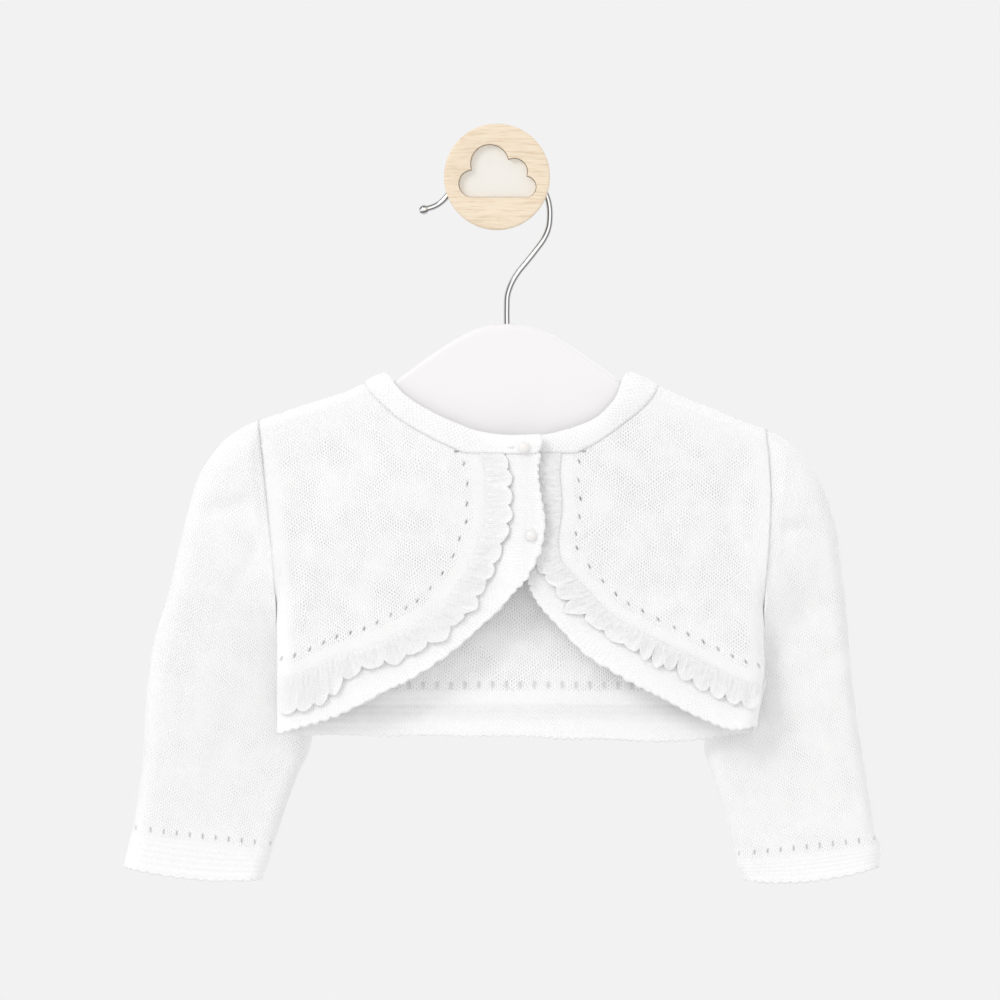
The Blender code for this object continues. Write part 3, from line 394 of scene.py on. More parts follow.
# How the body hangs: a flat envelope over the hanger, rounded where it folds over the hanger's
# top edge and at the side seams, and slowly fuller further down.
HANG_Y = -38.0
CREST_RADIUS = 5.0
FRONT_FULLNESS = 4.6
BACK_FULLNESS = 4.0
FULL_DROP = 80.0
SIDE_RADIUS = 9.0
UNDERARM_Z = -214.0
UNDERARM_ROUND = 26.0
SHELL_CROSS = 0.12
WAVER = 0.22
EDGE_FADE = 20.0
SHOULDER_GAP_SHADE = 0.2
SIDE_OPEN = 0.1
SHOULDER_LINE = np.array([
    (-119.5, -121.6), (-100.2, -114.9), (-86.9, -110.7), (-75.2, -106.9), (-66.0, -102.6),
    (-58.0, -96.5), (-47.0, -88.0), (5.0, -70.0), (57.0, -86.0), (66.0, -95.5),
    (79.5, -103.6), (96.5, -111.2), (108.5, -115.9), (122.9, -121.9), (134.5, -126.0),
])
SIDE_LINES = np.array([
    (-284.0, -110.5, 128.0), (-279.0, -110.5, 129.5), (-262.0, -110.5, 133.5),
    (-251.0, -110.5, 134.5), (-236.0, -110.5, 134.0), (-217.0, -110.8, 133.9),
    (-207.0, -111.2, 134.4), (-185.0, -113.0, 136.1), (-173.0, -114.1, 136.9),
    (-157.0, -115.6, 137.3), (-140.0, -117.3, 136.4), (-121.6, -119.5, 134.2),
])


def shoulder_z(x):
    """Height of the shoulder line over x, straight between the table's points."""
    return np.interp(x, SHOULDER_LINE[:, 0], SHOULDER_LINE[:, 1])


def side_x(z, side):
    """Side edge of the body at height z; side is -1 at the wearer's right, 1 at the left."""
    return np.interp(z, SIDE_LINES[:, 0], SIDE_LINES[:, 1 if side < 0 else 2])


def from_sides(x, z):
    """How far a point of the body lies in from the nearer side edge."""
    return np.minimum(x - side_x(z, -1), side_x(z, 1) - x)


def body_y(x, z, face):
    """Depth of the body's outer surface: a quarter circle below the shoulder line plus a slow
    gain with the drop, times a quarter circle in from the side seams, which opens at the armhole."""
    drop = shoulder_z(x) - z
    fullness = FRONT_FULLNESS if face < 0 else BACK_FULLNESS
    depth = CREST_RADIUS * rise(drop, CREST_RADIUS) + fullness * ease(drop / FULL_DROP)
    above = np.maximum(z - UNDERARM_Z, 0.0) * SIDE_RADIUS / UNDERARM_ROUND
    turn = rise(np.hypot(np.maximum(from_sides(x, z), 0.0), above), SIDE_RADIUS)
    return HANG_Y + face * (depth * turn - SHELL_CROSS)


def soft_folds(x, z, folds):
    """Sum of long soft hollows and ridges: each row is x, z, direction in degrees, half length,
    half width and depth, and falls off as a bell along and across its direction."""
    total = np.zeros_like(x)
    for fold_x, fold_z, degrees, half_length, half_width, depth in folds:
        turn = math.radians(degrees)
        along = (x - fold_x) * math.cos(turn) + (z - fold_z) * math.sin(turn)
        across = (z - fold_z) * math.cos(turn) - (x - fold_x) * math.sin(turn)
        total += depth * np.exp(-(along / half_length) ** 2 - (across / half_width) ** 2)
    return total


def slow_waver(x, z, size, seed):
    """Uneven hang of soft cloth: four sine waves of unlike lengths and directions."""
    turn = np.random.default_rng(seed).uniform(0.0, 2 * math.pi, 8)
    return size * (np.sin(x / 17 + turn[0]) * np.sin(z / 23 + turn[1])
                   + 0.6 * np.sin(x / 9 + z / 31 + turn[2]) * np.sin(z / 12 + turn[3])
                   + 0.4 * np.sin((x - z) / 14 + turn[4]) + 0.3 * np.sin((x + z) / 7.5 + turn[5]))


# Borders of the fronts and the back: knitted on below a row of eyelets, whose line is a table's
# first pair of columns, and ending in a small pointed edge along the last pair.
RIGHT_BORDER = [
    (-16.5, -136.9, 21.8, -138.0), (-13.0, -150.0, 20.3, -149.0), (-13.0, -162.0, 22.6, -162.0),
    (-13.5, -173.5, 24.0, -175.0), (-17.3, -182.5, 21.6, -187.5), (-20.4, -191.0, 15.0, -200.0),
    (-26.3, -200.0, 7.4, -208.7), (-32.4, -207.4, -2.2, -219.5), (-38.8, -213.6, -13.0, -229.2),
    (-45.2, -217.6, -24.7, -238.5), (-52.4, -221.0, -39.3, -248.6), (-65.8, -227.8, -55.5, -257.2),
    (-79.8, -231.8, -74.5, -267.0), (-92.5, -237.8, -90.7, -272.9), (-101.0, -241.3, -101.0, -276.0),
    (-110.5, -243.5, -110.5, -279.0),
]
LEFT_BORDER = [
    (39.5, -136.9, 9.0, -138.0), (38.8, -150.0, 8.0, -150.0), (39.8, -161.0, 8.0, -162.0),
    (39.2, -171.0, 8.2, -174.5), (37.6, -179.5, 10.0, -187.5), (38.6, -187.8, 14.6, -198.6),
    (45.0, -196.2, 17.0, -207.0), (52.0, -203.8, 22.5, -216.2), (58.6, -210.4, 31.5, -226.0),
    (65.0, -215.3, 44.0, -238.6), (72.3, -218.9, 58.4, -247.5), (80.2, -223.2, 70.5, -254.3),
    (95.0, -230.6, 85.2, -262.0), (109.8, -237.8, 103.5, -271.2), (122.0, -243.6, 118.0, -276.2),
    (134.1, -247.5, 130.5, -275.2),
]
BACK_HEM = [
    (-110.5, -256.4, -110.5, -279.0), (-60.0, -256.4, -60.0, -279.8), (5.0, -256.4, 5.0, -280.2),
    (60.0, -256.4, 60.0, -281.8), (95.0, -256.4, 95.0, -282.3), (118.0, -256.2, 116.0, -279.6),
    (134.2, -256.0, 129.6, -278.0),
]
EYELET_HALF_STRIP = 3.0
EYELET_OFF_LINE = -2.0
LAP_LIFT = 5.0
LAP_START_X = -6.0
LAP_RUN = 18.0
UNDER_SINK = 1.0
UNDER_START_X = 36.0
UNDER_RUN = 20.0


def lap_shift(x, layer):
    """How far the fronts move apart in depth where they meet: the right one laps over the left."""
    if layer < 0:
        return -LAP_LIFT * ease((x - LAP_START_X) / LAP_RUN)
    if layer > 0:
        return UNDER_SINK * ease((UNDER_START_X - x) / UNDER_RUN)
    return 0.0


def border_place(rows, station, reach):
    """Flat x and z, reach millimetres out from a border's eyelet line at a station."""
    line = curve_through(rows, station)
    inner = line[..., 0:2]
    way = line[..., 2:4] - inner
    way /= np.linalg.norm(way, axis=-1, keepdims=True)
    return inner + way * np.asarray(reach)[..., None]


def border_width(rows, station):
    """Width of a border at a station."""
    line = curve_through(rows, station)
    return np.linalg.norm(line[..., 2:4] - line[..., 0:2], axis=-1)


def body_points(flat, face, layer, folds, seed):
    """Put flat x and z on the body, with lap, folds and waver, which fade at shoulder and sides.
    The last four arguments travel together below, as how a panel hangs."""
    x, z = flat[..., 0], flat[..., 1]
    from_edge = np.minimum(from_sides(x, z), shoulder_z(x) - z)
    loose = (soft_folds(x, z, folds) + slow_waver(x, z, WAVER, seed)) * ease(from_edge / EDGE_FADE)
    return np.stack([x, body_y(x, z, face) + lap_shift(x, layer) - face * loose, z], axis=-1)


def body_openness(points):
    """Strength of the stitch gaps' painted shade: weak along the shoulders, where the top is painted
    lighter, and along the armhole seams, where the knit is closest; full away from them.
    """
    x, z = points[:, 0], points[:, 2]
    below = SHOULDER_GAP_SHADE + (1.0 - SHOULDER_GAP_SHADE) * ease((shoulder_z(x) - z - 3.0) / 26.0)
    inside = SIDE_OPEN + (1.0 - SIDE_OPEN) * ease((from_sides(x, z) - 4.0) / 6.0)
    return below * inside


# The back: one knitted panel from the shoulders down to its eyelet row, seen through the open
# front and from behind. The two fronts: their armhole, shoulder, neck and eyelet line are the
# four sides of one patch each.
RIGHT_NECK = [
    (-65.5, -102.2), (-62.3, -107.0), (-58.0, -111.3), (-49.0, -119.3), (-37.4, -126.6),
    (-22.0, -134.2), (-16.5, -136.6),
]
LEFT_NECK = [
    (79.8, -103.7), (76.8, -109.5), (73.2, -113.6), (62.9, -122.0), (50.5, -131.0), (39.5, -136.6),
]
BACK_NECK = [
    (-65.5, -102.2), (-60.5, -108.2), (-52.0, -112.0), (-35.0, -115.2), (5.0, -116.8),
    (45.0, -115.2), (64.0, -112.5), (73.5, -109.0), (79.8, -103.7),
]
RIGHT_FOLDS = [
    (-30.0, -212.0, 62.0, 16.0, 5.0, 0.5), (-70.0, -205.0, -18.0, 34.0, 9.0, 0.7),
    (-60.0, -150.0, -52.0, 30.0, 8.0, 0.6), (-95.0, -160.0, 84.0, 34.0, 6.0, 0.9),
    (-88.0, -225.0, 30.0, 18.0, 6.0, 0.7), (-105.0, -205.0, 70.0, 20.0, 5.0, 0.8),
    (-45.0, -185.0, 75.0, 26.0, 8.0, -0.5),
]
LEFT_FOLDS = [
    (118.0, -165.0, 88.0, 36.0, 6.0, 0.9), (92.0, -205.0, 24.0, 30.0, 9.0, 0.7),
    (80.0, -150.0, 55.0, 28.0, 8.0, 0.6), (60.0, -190.0, -70.0, 24.0, 7.0, -0.5),
    (105.0, -228.0, -30.0, 18.0, 6.0, 0.7), (126.0, -205.0, -72.0, 20.0, 5.0, 0.8),
]
BACK_FOLDS = [
    (-60.0, -180.0, 80.0, 40.0, 9.0, 0.9), (10.0, -200.0, 92.0, 40.0, 10.0, 0.6),
    (75.0, -185.0, 100.0, 42.0, 9.0, 0.8), (-20.0, -235.0, 10.0, 30.0, 7.0, 0.5),
    (-95.0, -215.0, 60.0, 24.0, 6.0, 0.8), (112.0, -215.0, -60.0, 24.0, 6.0, 0.8),
]
RIGHT_HANG = (-1, -1, RIGHT_FOLDS, 2)
LEFT_HANG = (-1, 1, LEFT_FOLDS, 3)
BACK_HANG = (1, 0, BACK_FOLDS, 5)
ROW_STEP = 0.06


def four_sided(bottom, top, left, right, u, v):
    """Patch between four edges: each pair blended across, less the blend of the corners."""
    u = u[None, :, None]
    v = v[:, None, None]
    between = (1 - v) * bottom[None] + v * top[None] + (1 - u) * left[:, None] + u * right[:, None]
    return between - ((1 - u) * (1 - v) * bottom[0] + u * (1 - v) * bottom[-1]
                      + (1 - u) * v * top[0] + u * v * top[-1])


def shoulder_points(start_x, end_x, shares):
    """Points of the shoulder seam between two x."""
    x = start_x + (end_x - start_x) * shares
    return np.stack([x, shoulder_z(x)], axis=-1)


def below_shoulder(flat):
    """Keep each row under the shoulder line, a little lower than the row above it."""
    rows_down = np.arange(len(flat))[::-1, None]
    flat[..., 1] = np.minimum(flat[..., 1], shoulder_z(flat[..., 0]) - ROW_STEP * rows_down)
    return flat


def stitch_places(points, lean):
    """Stitch coordinates of a hanging panel: wales down it, leaning a little, and courses across."""
    return np.stack([(points[:, 0] + lean * points[:, 2]) / STITCH_WIDE,
                     (points[:, 2] - lean * points[:, 0]) / STITCH_TALL], axis=1)


# Every border starts below a row of small slanting eyelets. Each eyelet has a square tile of
# cloth; the tiles' edges set where the panel's and the border's points lie, so all three join.
# Five rings of quads run out from a hole: a flat rim, a little sunk, then a raised ring. The rim
# is coloured grey, as painted shade round the hole.
RIGHT_EYELETS = [0.042, 0.104, 0.166, 0.221, 0.278, 0.335, 0.398, 0.458, 0.516, 0.559, 0.615, 0.664,
                 0.708, 0.753, 0.798, 0.843, 0.890, 0.941, 0.984]
LEFT_EYELETS = [0.032, 0.090, 0.145, 0.200, 0.255, 0.299, 0.367, 0.427, 0.484, 0.536, 0.587, 0.642,
                0.697, 0.743, 0.795, 0.845, 0.894, 0.938, 0.979]
BACK_EYELETS = (np.arange(35) + 0.5) / 35
EYELET_HALF_LONG = 1.5
EYELET_HALF_WIDE = 0.50
TILE_STEPS = 10
RING_SHARES = np.array([0.0, 0.17, 0.27, 0.45, 0.72, 1.0])
RING_HEIGHTS = np.array([-0.08, -0.08, 0.10, 0.05, 0.0, 0.0])
FRONT_HOLE = (0.72, 0.4)
BACK_HOLE = (0.45, 0.10)
CUFF_HOLE = (0.75, 0.25)
PICOT_PITCH = 4.4
PICOT_TALL = 0.95
PICOT_INSET = 0.6
RIB_PITCH = 3.6
RIB_HEIGHT = 0.12
BAND_COLUMNS = 30
PANEL_REACH = EYELET_OFF_LINE - EYELET_HALF_STRIP
BAND_REACH = EYELET_OFF_LINE + EYELET_HALF_STRIP


def tile_bounds(eyelets):
    """Stations half way between neighbouring eyelets, and both ends."""
    eyelets = np.asarray(eyelets)
    return np.concatenate([[0.0], (eyelets[1:] + eyelets[:-1]) / 2, [1.0]])


def edge_stations(bounds):
    """Even steps along every tile's edge."""
    steps = np.arange(TILE_STEPS) / TILE_STEPS
    inner = bounds[:-1, None] + (bounds[1:] - bounds[:-1])[:, None] * steps
    return np.append(inner.ravel(), bounds[-1])


def tile_perimeters(bounds, low, high):
    """Station and reach of the points round each tile, in even steps along its four sides."""
    steps = np.arange(TILE_STEPS) / TILE_STEPS
    start, end = bounds[:-1, None], bounds[1:, None]
    station = np.concatenate([start + (end - start) * steps, end + 0 * steps,
                              end - (end - start) * steps, start + 0 * steps], axis=1)
    reach = np.concatenate([low + 0 * steps, low + (high - low) * steps,
                            high + 0 * steps, high - (high - low) * steps])
    return np.stack(np.broadcast_arrays(station, reach[None, :]), axis=-1)


def eyelet_rings(centre, perimeter, way, size):
    """Rings that run from a leaning oval hole straight out to the tile's own edge."""
    side = np.stack([-way[..., 1], way[..., 0]], axis=-1)
    to_edge = perimeter - centre[:, None]
    turn = np.arctan2(np.sum(to_edge * side[:, None], axis=-1),
                      np.sum(to_edge * way[:, None], axis=-1))
    oval = (centre[:, None] + way[:, None] * (size[:, :1] * np.cos(turn))[..., None]
            + side[:, None] * (size[:, 1:] * np.sin(turn))[..., None])
    out = RING_SHARES[None, :, None, None]
    return oval[:, None] * (1 - out) + perimeter[:, None] * out


def tile_quads(tiles):
    """Quads of all tiles' rings."""
    quads = grid_quads(len(RING_SHARES), 4 * TILE_STEPS, closed=True)
    first = np.arange(tiles) * len(RING_SHARES) * 4 * TILE_STEPS
    return (quads[None] + first[:, None, None]).reshape(-1, 4)


def tile_kinds(tiles):
    """Material numbers of the quads: painted shade in the ring next to each hole."""
    kinds = np.zeros((tiles, len(RING_SHARES) - 1, 4 * TILE_STEPS), dtype=np.int32)
    kinds[:, 0] = 2
    return kinds.ravel()


def eyelet_sizes(tiles, seed, hole):
    """Half length and half width of each eyelet, a little uneven; hole scales both."""
    chance = np.random.default_rng(seed)
    return np.stack([hole[0] * EYELET_HALF_LONG * chance.uniform(0.8, 1.12, tiles),
                     hole[1] * EYELET_HALF_WIDE * chance.uniform(0.8, 1.45, tiles)], axis=1)


def tile_strip(grid, places, wale_lean):
    """The eyelet tiles of one strip as a patch; places are where the knit's stitches are read."""
    tiles = len(grid)
    return (grid.reshape(-1, 3), tile_quads(tiles), stitch_places(places.reshape(-1, 3), wale_lean),
            tile_kinds(tiles))


def border_stitches(station, length, reach):
    """Stitch coordinates of a border: wales along its eyelet line, courses out from it."""
    return np.stack([(station * length / STITCH_WIDE).ravel(), (reach / STITCH_TALL).ravel()], axis=1)


def border_patches(rows, eyelets, hang, lean, wale_lean, hole=FRONT_HOLE):
    """The eyelet strip and the band of one border: border_place at every station and reach, and
    an outer edge with a small point every 4.4 mm."""
    face = hang[0]
    length = table_length(rows)
    bounds = tile_bounds(eyelets)
    perimeter = tile_perimeters(bounds, PANEL_REACH, BAND_REACH)
    edge = border_place(rows, perimeter[..., 0], perimeter[..., 1])
    centre = border_place(rows, np.asarray(eyelets), np.full(len(eyelets), EYELET_OFF_LINE))
    way = np.broadcast_to([math.sin(math.radians(lean)), math.cos(math.radians(lean))], centre.shape)
    flat = eyelet_rings(centre, edge, way, eyelet_sizes(len(eyelets), hang[3], hole))
    strip = body_points(flat, *hang)
    strip[..., 1] += face * RING_HEIGHTS[None, :, None]
    station = edge_stations(bounds)[:, None]
    share = np.linspace(0.0, 1.0, BAND_COLUMNS)[None, :]
    along = station * length
    picot = np.abs(np.sin(along * math.pi / PICOT_PITCH + 0.9 * np.sin(along / 13.0))) ** 0.8
    width = border_width(rows, station[:, 0])[:, None] - PICOT_INSET
    width = width + (PICOT_TALL + 0.35 * np.sin(along / 7.0)) * picot
    reach = BAND_REACH + (width - BAND_REACH) * share
    wide_station = np.broadcast_to(station, reach.shape)
    grid = body_points(border_place(rows, wide_station, reach), *hang)
    ribs = RIB_HEIGHT * np.sin(reach * 2 * math.pi / RIB_PITCH) * ease(share * 6)
    curl = (0.3 + 0.5 * picot) * share ** 9
    grid[..., 1] += face * (ribs + curl)
    return [tile_strip(strip, strip, wale_lean),
            patch(grid, border_stitches(wide_station, length, reach), 1)]


def weld_row(rows, bounds):
    """Flat points of the panel's edge along the eyelet tiles."""
    station = edge_stations(bounds)
    return border_place(rows, station, np.full(len(station), PANEL_REACH))


BORDER_TURN = 0.34
SHOULDER_SHARE = 0.48
ROW_CROWDING = 1.5
BACK_ROWS = 60


def crowded(count):
    """Shares from 0 to 1 that crowd towards the shoulder."""
    return 1.0 - (1.0 - np.linspace(0.0, 1.0, count)) ** ROW_CROWDING


def side_edge(side, first, top_z, shares):
    """Side edge of a panel from its lowest point up to a height."""
    z = first[1] + (top_z - first[1]) * shares
    edge = np.stack([side_x(z, side), z], axis=-1)
    edge[0] = first
    return edge


def front_patch(side, neckline, border, eyelets, hang, wale_lean):
    """Grid of a front: across from its side to its border, and up from the border to the neck."""
    bounds = tile_bounds(eyelets)
    turn = int(np.argmin(np.abs(bounds - BORDER_TURN)))
    edge = weld_row(border, bounds)
    bottom = edge[turn * TILE_STEPS:][::-1].copy()
    right = edge[:turn * TILE_STEPS + 1][::-1].copy()
    u = np.linspace(0.0, 1.0, len(bottom))
    v = crowded(len(right))
    tip_x = side_x(SIDE_LINES[-1][0], side)
    shoulder = u <= SHOULDER_SHARE
    round_neck = (u[~shoulder] - SHOULDER_SHARE) / (1 - SHOULDER_SHARE)
    top = np.concatenate([shoulder_points(tip_x, neckline[0][0], u[shoulder] / SHOULDER_SHARE),
                          curve_through(neckline, round_neck)])
    right[-1] = top[-1]
    left = side_edge(side, bottom[0], shoulder_z(tip_x), v)
    grid = body_points(below_shoulder(four_sided(bottom, top, left, right, u, v)), *hang)
    return patch(grid, stitch_places(grid.reshape(-1, 3), wale_lean))


SHOULDER_TUCK = 0.35
SHOULDER_TUCK_REACH = 2.5
SHOULDER_TUCK_FADE = 6.0


def back_patch():
    """Grid of the back: across between its two sides, up from the eyelet row to the neck. Its
    shoulder edge lies a little below the front's, so the front covers the seam."""
    bottom = weld_row(BACK_HEM, tile_bounds(BACK_EYELETS))
    u = np.linspace(0.0, 1.0, len(bottom))
    v = crowded(BACK_ROWS)
    tips = [side_x(SIDE_LINES[-1][0], side) for side in (-1, 1)]
    first = (BACK_NECK[0][0] - tips[0]) / (tips[1] - tips[0])
    second = (BACK_NECK[-1][0] - tips[0]) / (tips[1] - tips[0])
    neck = (u > first) & (u < second)
    top = np.concatenate([shoulder_points(tips[0], BACK_NECK[0][0], u[u <= first] / first),
                          curve_through(BACK_NECK, (u[neck] - first) / (second - first)),
                          shoulder_points(tips[1], BACK_NECK[-1][0],
                                          (1 - u[u >= second]) / (1 - second))])
    left = side_edge(-1, bottom[0], shoulder_z(tips[0]), v)
    right = side_edge(1, bottom[-1], shoulder_z(tips[1]), v)
    grid = body_points(below_shoulder(four_sided(bottom, top, left, right, u, v)), *BACK_HANG)
    drop = shoulder_z(grid[..., 0]) - grid[..., 2]
    from_tip = np.minimum(grid[..., 0] - tips[0], tips[1] - grid[..., 0])
    tuck = SHOULDER_TUCK * np.exp(-(drop / SHOULDER_TUCK_REACH) ** 2)
    grid[..., 2] -= tuck * ease(from_tip / SHOULDER_TUCK_FADE)
    return patch(grid, stitch_places(grid.reshape(-1, 3), 0.0))


body_knits = [panel_knit, border_knit, painted_hole_shade]
back = cloth_sheet(
    "back_cloth",
    [back_patch()] + border_patches(BACK_HEM, BACK_EYELETS, BACK_HANG, 0.0, 0.0, BACK_HOLE),
    back_way, CLOTH, body_knits, body_openness)
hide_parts("back_panel", "back_hem_band")
right_front = cloth_sheet(
    "right_front_cloth",
    [front_patch(-1, RIGHT_NECK, RIGHT_BORDER, RIGHT_EYELETS, RIGHT_HANG, 0.107)]
    + border_patches(RIGHT_BORDER, RIGHT_EYELETS, RIGHT_HANG, 20.0, 0.107),
    front_way, CLOTH, body_knits, body_openness)
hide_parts("right_front", "right_front_band")
left_front = cloth_sheet(
    "left_front_cloth",
    [front_patch(1, LEFT_NECK, LEFT_BORDER, LEFT_EYELETS, LEFT_HANG, -0.042)]
    + border_patches(LEFT_BORDER, LEFT_EYELETS, LEFT_HANG, -24.0, -0.042),
    front_way, CLOTH, body_knits, body_openness)
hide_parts("left_front", "left_front_band")

# The frills: a narrow gathered strip sewn along each border, free at its scalloped outer edge.
# NOTCHES are the stations between scallops with the reach there; TIPS give the reach between.
RIGHT_NOTCHES = [
    (0.000, 18.4), (0.062, 18.8), (0.115, 18.2), (0.170, 18.9), (0.222, 18.3), (0.278, 18.8),
    (0.330, 18.2), (0.384, 18.6), (0.437, 19.0), (0.488, 19.8), (0.527, 18.8), (0.579, 17.7),
    (0.621, 18.6), (0.684, 15.8), (0.746, 14.6), (0.797, 18.0), (0.842, 22.8), (0.886, 24.6),
    (0.936, 24.0), (0.985, 23.0),
]
RIGHT_TIPS = [
    (0.0, 20.8), (0.2, 21.2), (0.4, 20.8), (0.463, 24.0), (0.508, 21.2), (0.553, 23.3),
    (0.600, 20.6), (0.650, 21.8), (0.715, 18.2), (0.772, 19.6), (0.820, 25.5), (0.864, 28.0),
    (0.911, 27.6), (1.0, 26.0),
]
LEFT_NOTCHES = [
    (0.000, 17.8), (0.062, 18.2), (0.118, 17.6), (0.170, 18.3), (0.225, 17.7), (0.280, 18.1),
    (0.335, 17.4), (0.388, 18.0), (0.440, 17.0), (0.490, 15.0), (0.536, 15.6), (0.582, 16.5),
    (0.618, 14.6), (0.655, 12.0), (0.696, 16.0), (0.738, 11.6), (0.790, 16.2), (0.840, 17.4),
    (0.888, 17.0), (0.938, 16.6), (0.985, 15.8),
]
LEFT_TIPS = [
    (0.0, 20.2), (0.2, 20.6), (0.4, 20.2), (0.465, 24.0), (0.512, 18.2), (0.560, 18.6),
    (0.600, 18.2), (0.636, 19.8), (0.675, 20.8), (0.717, 18.6), (0.765, 20.0), (0.815, 21.2),
    (0.864, 21.6), (0.913, 20.8), (1.0, 20.0),
]
FRILL_SEAM = 7.4
FRILL_CLOTH = 0.7
FRILL_LIFT = 0.82
FRILL_STEP = 0.45
FRILL_TUCK_RUN = 8.0
SCALLOP_POWER = 0.6
UNDER_PRESS = 0.4
UNDER_PRESS_X = 27.0


def frill_stand(phase, along, out, turn):
    """How far a frill stands off its border: more towards its free edge, in slow waves of unlike
    lengths, with fine gathers that fade out from the seam and small wrinkles."""
    wave = (0.55 * np.sin(phase * math.pi * 0.9 + turn[0])
            + 0.45 * np.sin(phase * math.pi * 1.7 + turn[1])
            + 0.35 * np.cos(phase * 2 * math.pi) + 0.2 * np.sin(phase * math.pi * 3.3 + turn[2]))
    gather = (0.20 * np.sin(along * 2 * math.pi / 2.5 + turn[3] + 2.0 * out)
              + 0.16 * np.sin(along * 2 * math.pi / 3.9 + turn[4] - 3.0 * out))
    wrinkle = (0.16 * np.sin(along * 0.9 + 4.0 * out + turn[5]) * np.sin(out * 7.0 + turn[6])
               + 0.12 * np.sin(along * 1.7 - 6.0 * out + turn[7])
               * np.sin(out * 11.0 + along * 0.3 + turn[8]))
    stand = FRILL_LIFT + 0.5 * ease(out * 5.0) + 0.75 * out + 0.6 * out * wave
    return stand + (gather * np.exp(-out * 2.0) * ease(out * 8.0) + wrinkle * ease(out * 4.0))


def frill_patch(rows, notches, tips, hang):
    """The border's surface from the frill's seam out to the scallops, whose reach goes from the
    notch line to the tip line as |sin| to the power 0.6. The strip leaves the border at its
    seam, and its upper end is tucked below the neckband. The lap presses the left one down."""
    face, layer, _, seed = hang
    notches, tips = np.array(notches), np.array(tips)
    neck_start = 100.0 if layer == 0 else 0.0
    length = table_length(rows)
    station = np.linspace(notches[0, 0], notches[-1, 0], int(length / FRILL_STEP))
    phase = np.interp(station, notches[:, 0], np.arange(len(notches)))
    low = np.interp(station, notches[:, 0], notches[:, 1])
    high = np.interp(station, tips[:, 0], tips[:, 1])
    scallop = low + (high - low) * np.abs(np.sin(phase * math.pi)) ** SCALLOP_POWER
    turn = np.random.default_rng(seed).uniform(0.0, 2 * math.pi, 9)
    out = np.linspace(0.0, 1.0, BAND_COLUMNS)[None, :]
    reach = FRILL_SEAM + (scallop[:, None] - FRILL_SEAM) * out
    along = (station * length)[:, None]
    stand = frill_stand(phase[:, None], along, out, turn)
    stand = FRILL_LIFT + (stand - FRILL_LIFT) * ease((along + neck_start) / FRILL_TUCK_RUN)
    if layer > 0:
        flat_x = border_place(rows, station, np.full(len(station), 12.0))[:, 0:1]
        pressed = UNDER_PRESS * ease((UNDER_PRESS_X - flat_x) / FRILL_TUCK_RUN)
        stand = FRILL_LIFT + (stand - FRILL_LIFT) * (1.0 - pressed)
    wide_station = np.broadcast_to(station[:, None], reach.shape)
    grid = body_points(border_place(rows, wide_station, reach), *hang)
    grid = grid + outward_normals(grid, [0.0, face, 0.0]) * stand[..., None]
    return patch(grid, border_stitches(wide_station, length, reach))


def even_scallops(count, start, end, reach, seed):
    """Notch table of a frill that the photograph doesn't show."""
    chance = np.random.default_rng(seed)
    station = np.linspace(start, end, count + 1)
    station[1:-1] += chance.uniform(-0.006, 0.006, count - 1)
    return np.stack([station, reach + chance.uniform(-0.5, 0.5, count + 1)], axis=1)


frill_knit = [border_knit]
right_frill = cloth_sheet(
    "right_frill_cloth", [frill_patch(RIGHT_BORDER, RIGHT_NOTCHES, RIGHT_TIPS, RIGHT_HANG)],
    front_way, FRILL_CLOTH, frill_knit)
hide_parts("right_frill")
left_frill = cloth_sheet(
    "left_frill_cloth", [frill_patch(LEFT_BORDER, LEFT_NOTCHES, LEFT_TIPS, LEFT_HANG)],
    front_way, FRILL_CLOTH, frill_knit)
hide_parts("left_frill")
BACK_NOTCHES = even_scallops(24, 0.015, 0.985, 13.6, 4)
BACK_TIPS = even_scallops(24, 0.0, 1.0, 16.0, 5)
back_frill = cloth_sheet(
    "back_frill_cloth", [frill_patch(BACK_HEM, BACK_NOTCHES, BACK_TIPS, BACK_HANG)],
    back_way, FRILL_CLOTH, frill_knit)
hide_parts("back_frill")

# The neckband: a close-knit band knitted on round the neck, crowned across its width, with a
# raised line of linked stitches along its lower edge. The upper edge's rows are x, z, y; the
# band's rows are lower x, z, then the upper edge's. LAP and TUCK are the ends at the button.
RIGHT_NECK_TOP = [
    (-54.6, -97.4, -38.0), (-52.2, -101.2, -42.3), (-49.7, -104.9, -44.0), (-42.0, -111.7, -45.0),
    (-30.1, -118.5, -45.8), (-18.4, -123.6, -46.5), (-13.8, -125.6, -46.7),
]
BACK_NECK_TOP = [
    (-54.6, -97.4, -38.0), (-52.4, -101.2, -33.7), (-47.0, -104.6, -32.2), (-32.0, -106.0, -31.4),
    (5.0, -107.4, -31.2), (42.0, -106.0, -31.4), (56.5, -104.6, -32.2), (62.0, -101.2, -33.7),
    (64.8, -97.0, -38.0),
]
LEFT_NECK_TOP = [
    (64.8, -97.0, -38.0), (62.6, -101.2, -42.3), (60.6, -107.0, -44.2), (56.0, -114.2, -45.2),
    (47.0, -121.6, -46.0), (36.6, -125.6, -46.5),
]
RIGHT_NECKBAND = [(*low, *top) for low, top in zip(RIGHT_NECK, RIGHT_NECK_TOP)]
BACK_NECKBAND = [(*low, *top) for low, top in zip(BACK_NECK, BACK_NECK_TOP)]
LEFT_NECKBAND = [(*low, *top) for low, top in zip(LEFT_NECK, LEFT_NECK_TOP)]
NECK_LAP = [
    (21.9, -137.0, 23.5, -128.4, -52.2), (5.0, -137.2, 5.0, -128.9, -50.6),
    (-8.0, -137.0, -6.0, -127.6, -47.2), RIGHT_NECKBAND[-1],
]
NECK_TUCK = [
    LEFT_NECKBAND[-1], (21.5, -137.0, 22.6, -128.7, -46.2), (9.0, -137.2, 9.0, -129.2, -45.8),
]
NECK_SEAM_LAP = 1.3
LAP_CORNER = 2.6
NECK_COLUMNS = 24
NECK_CROWN = 1.2
NECK_RIDGE = 0.25
NECK_TALL = 9.0
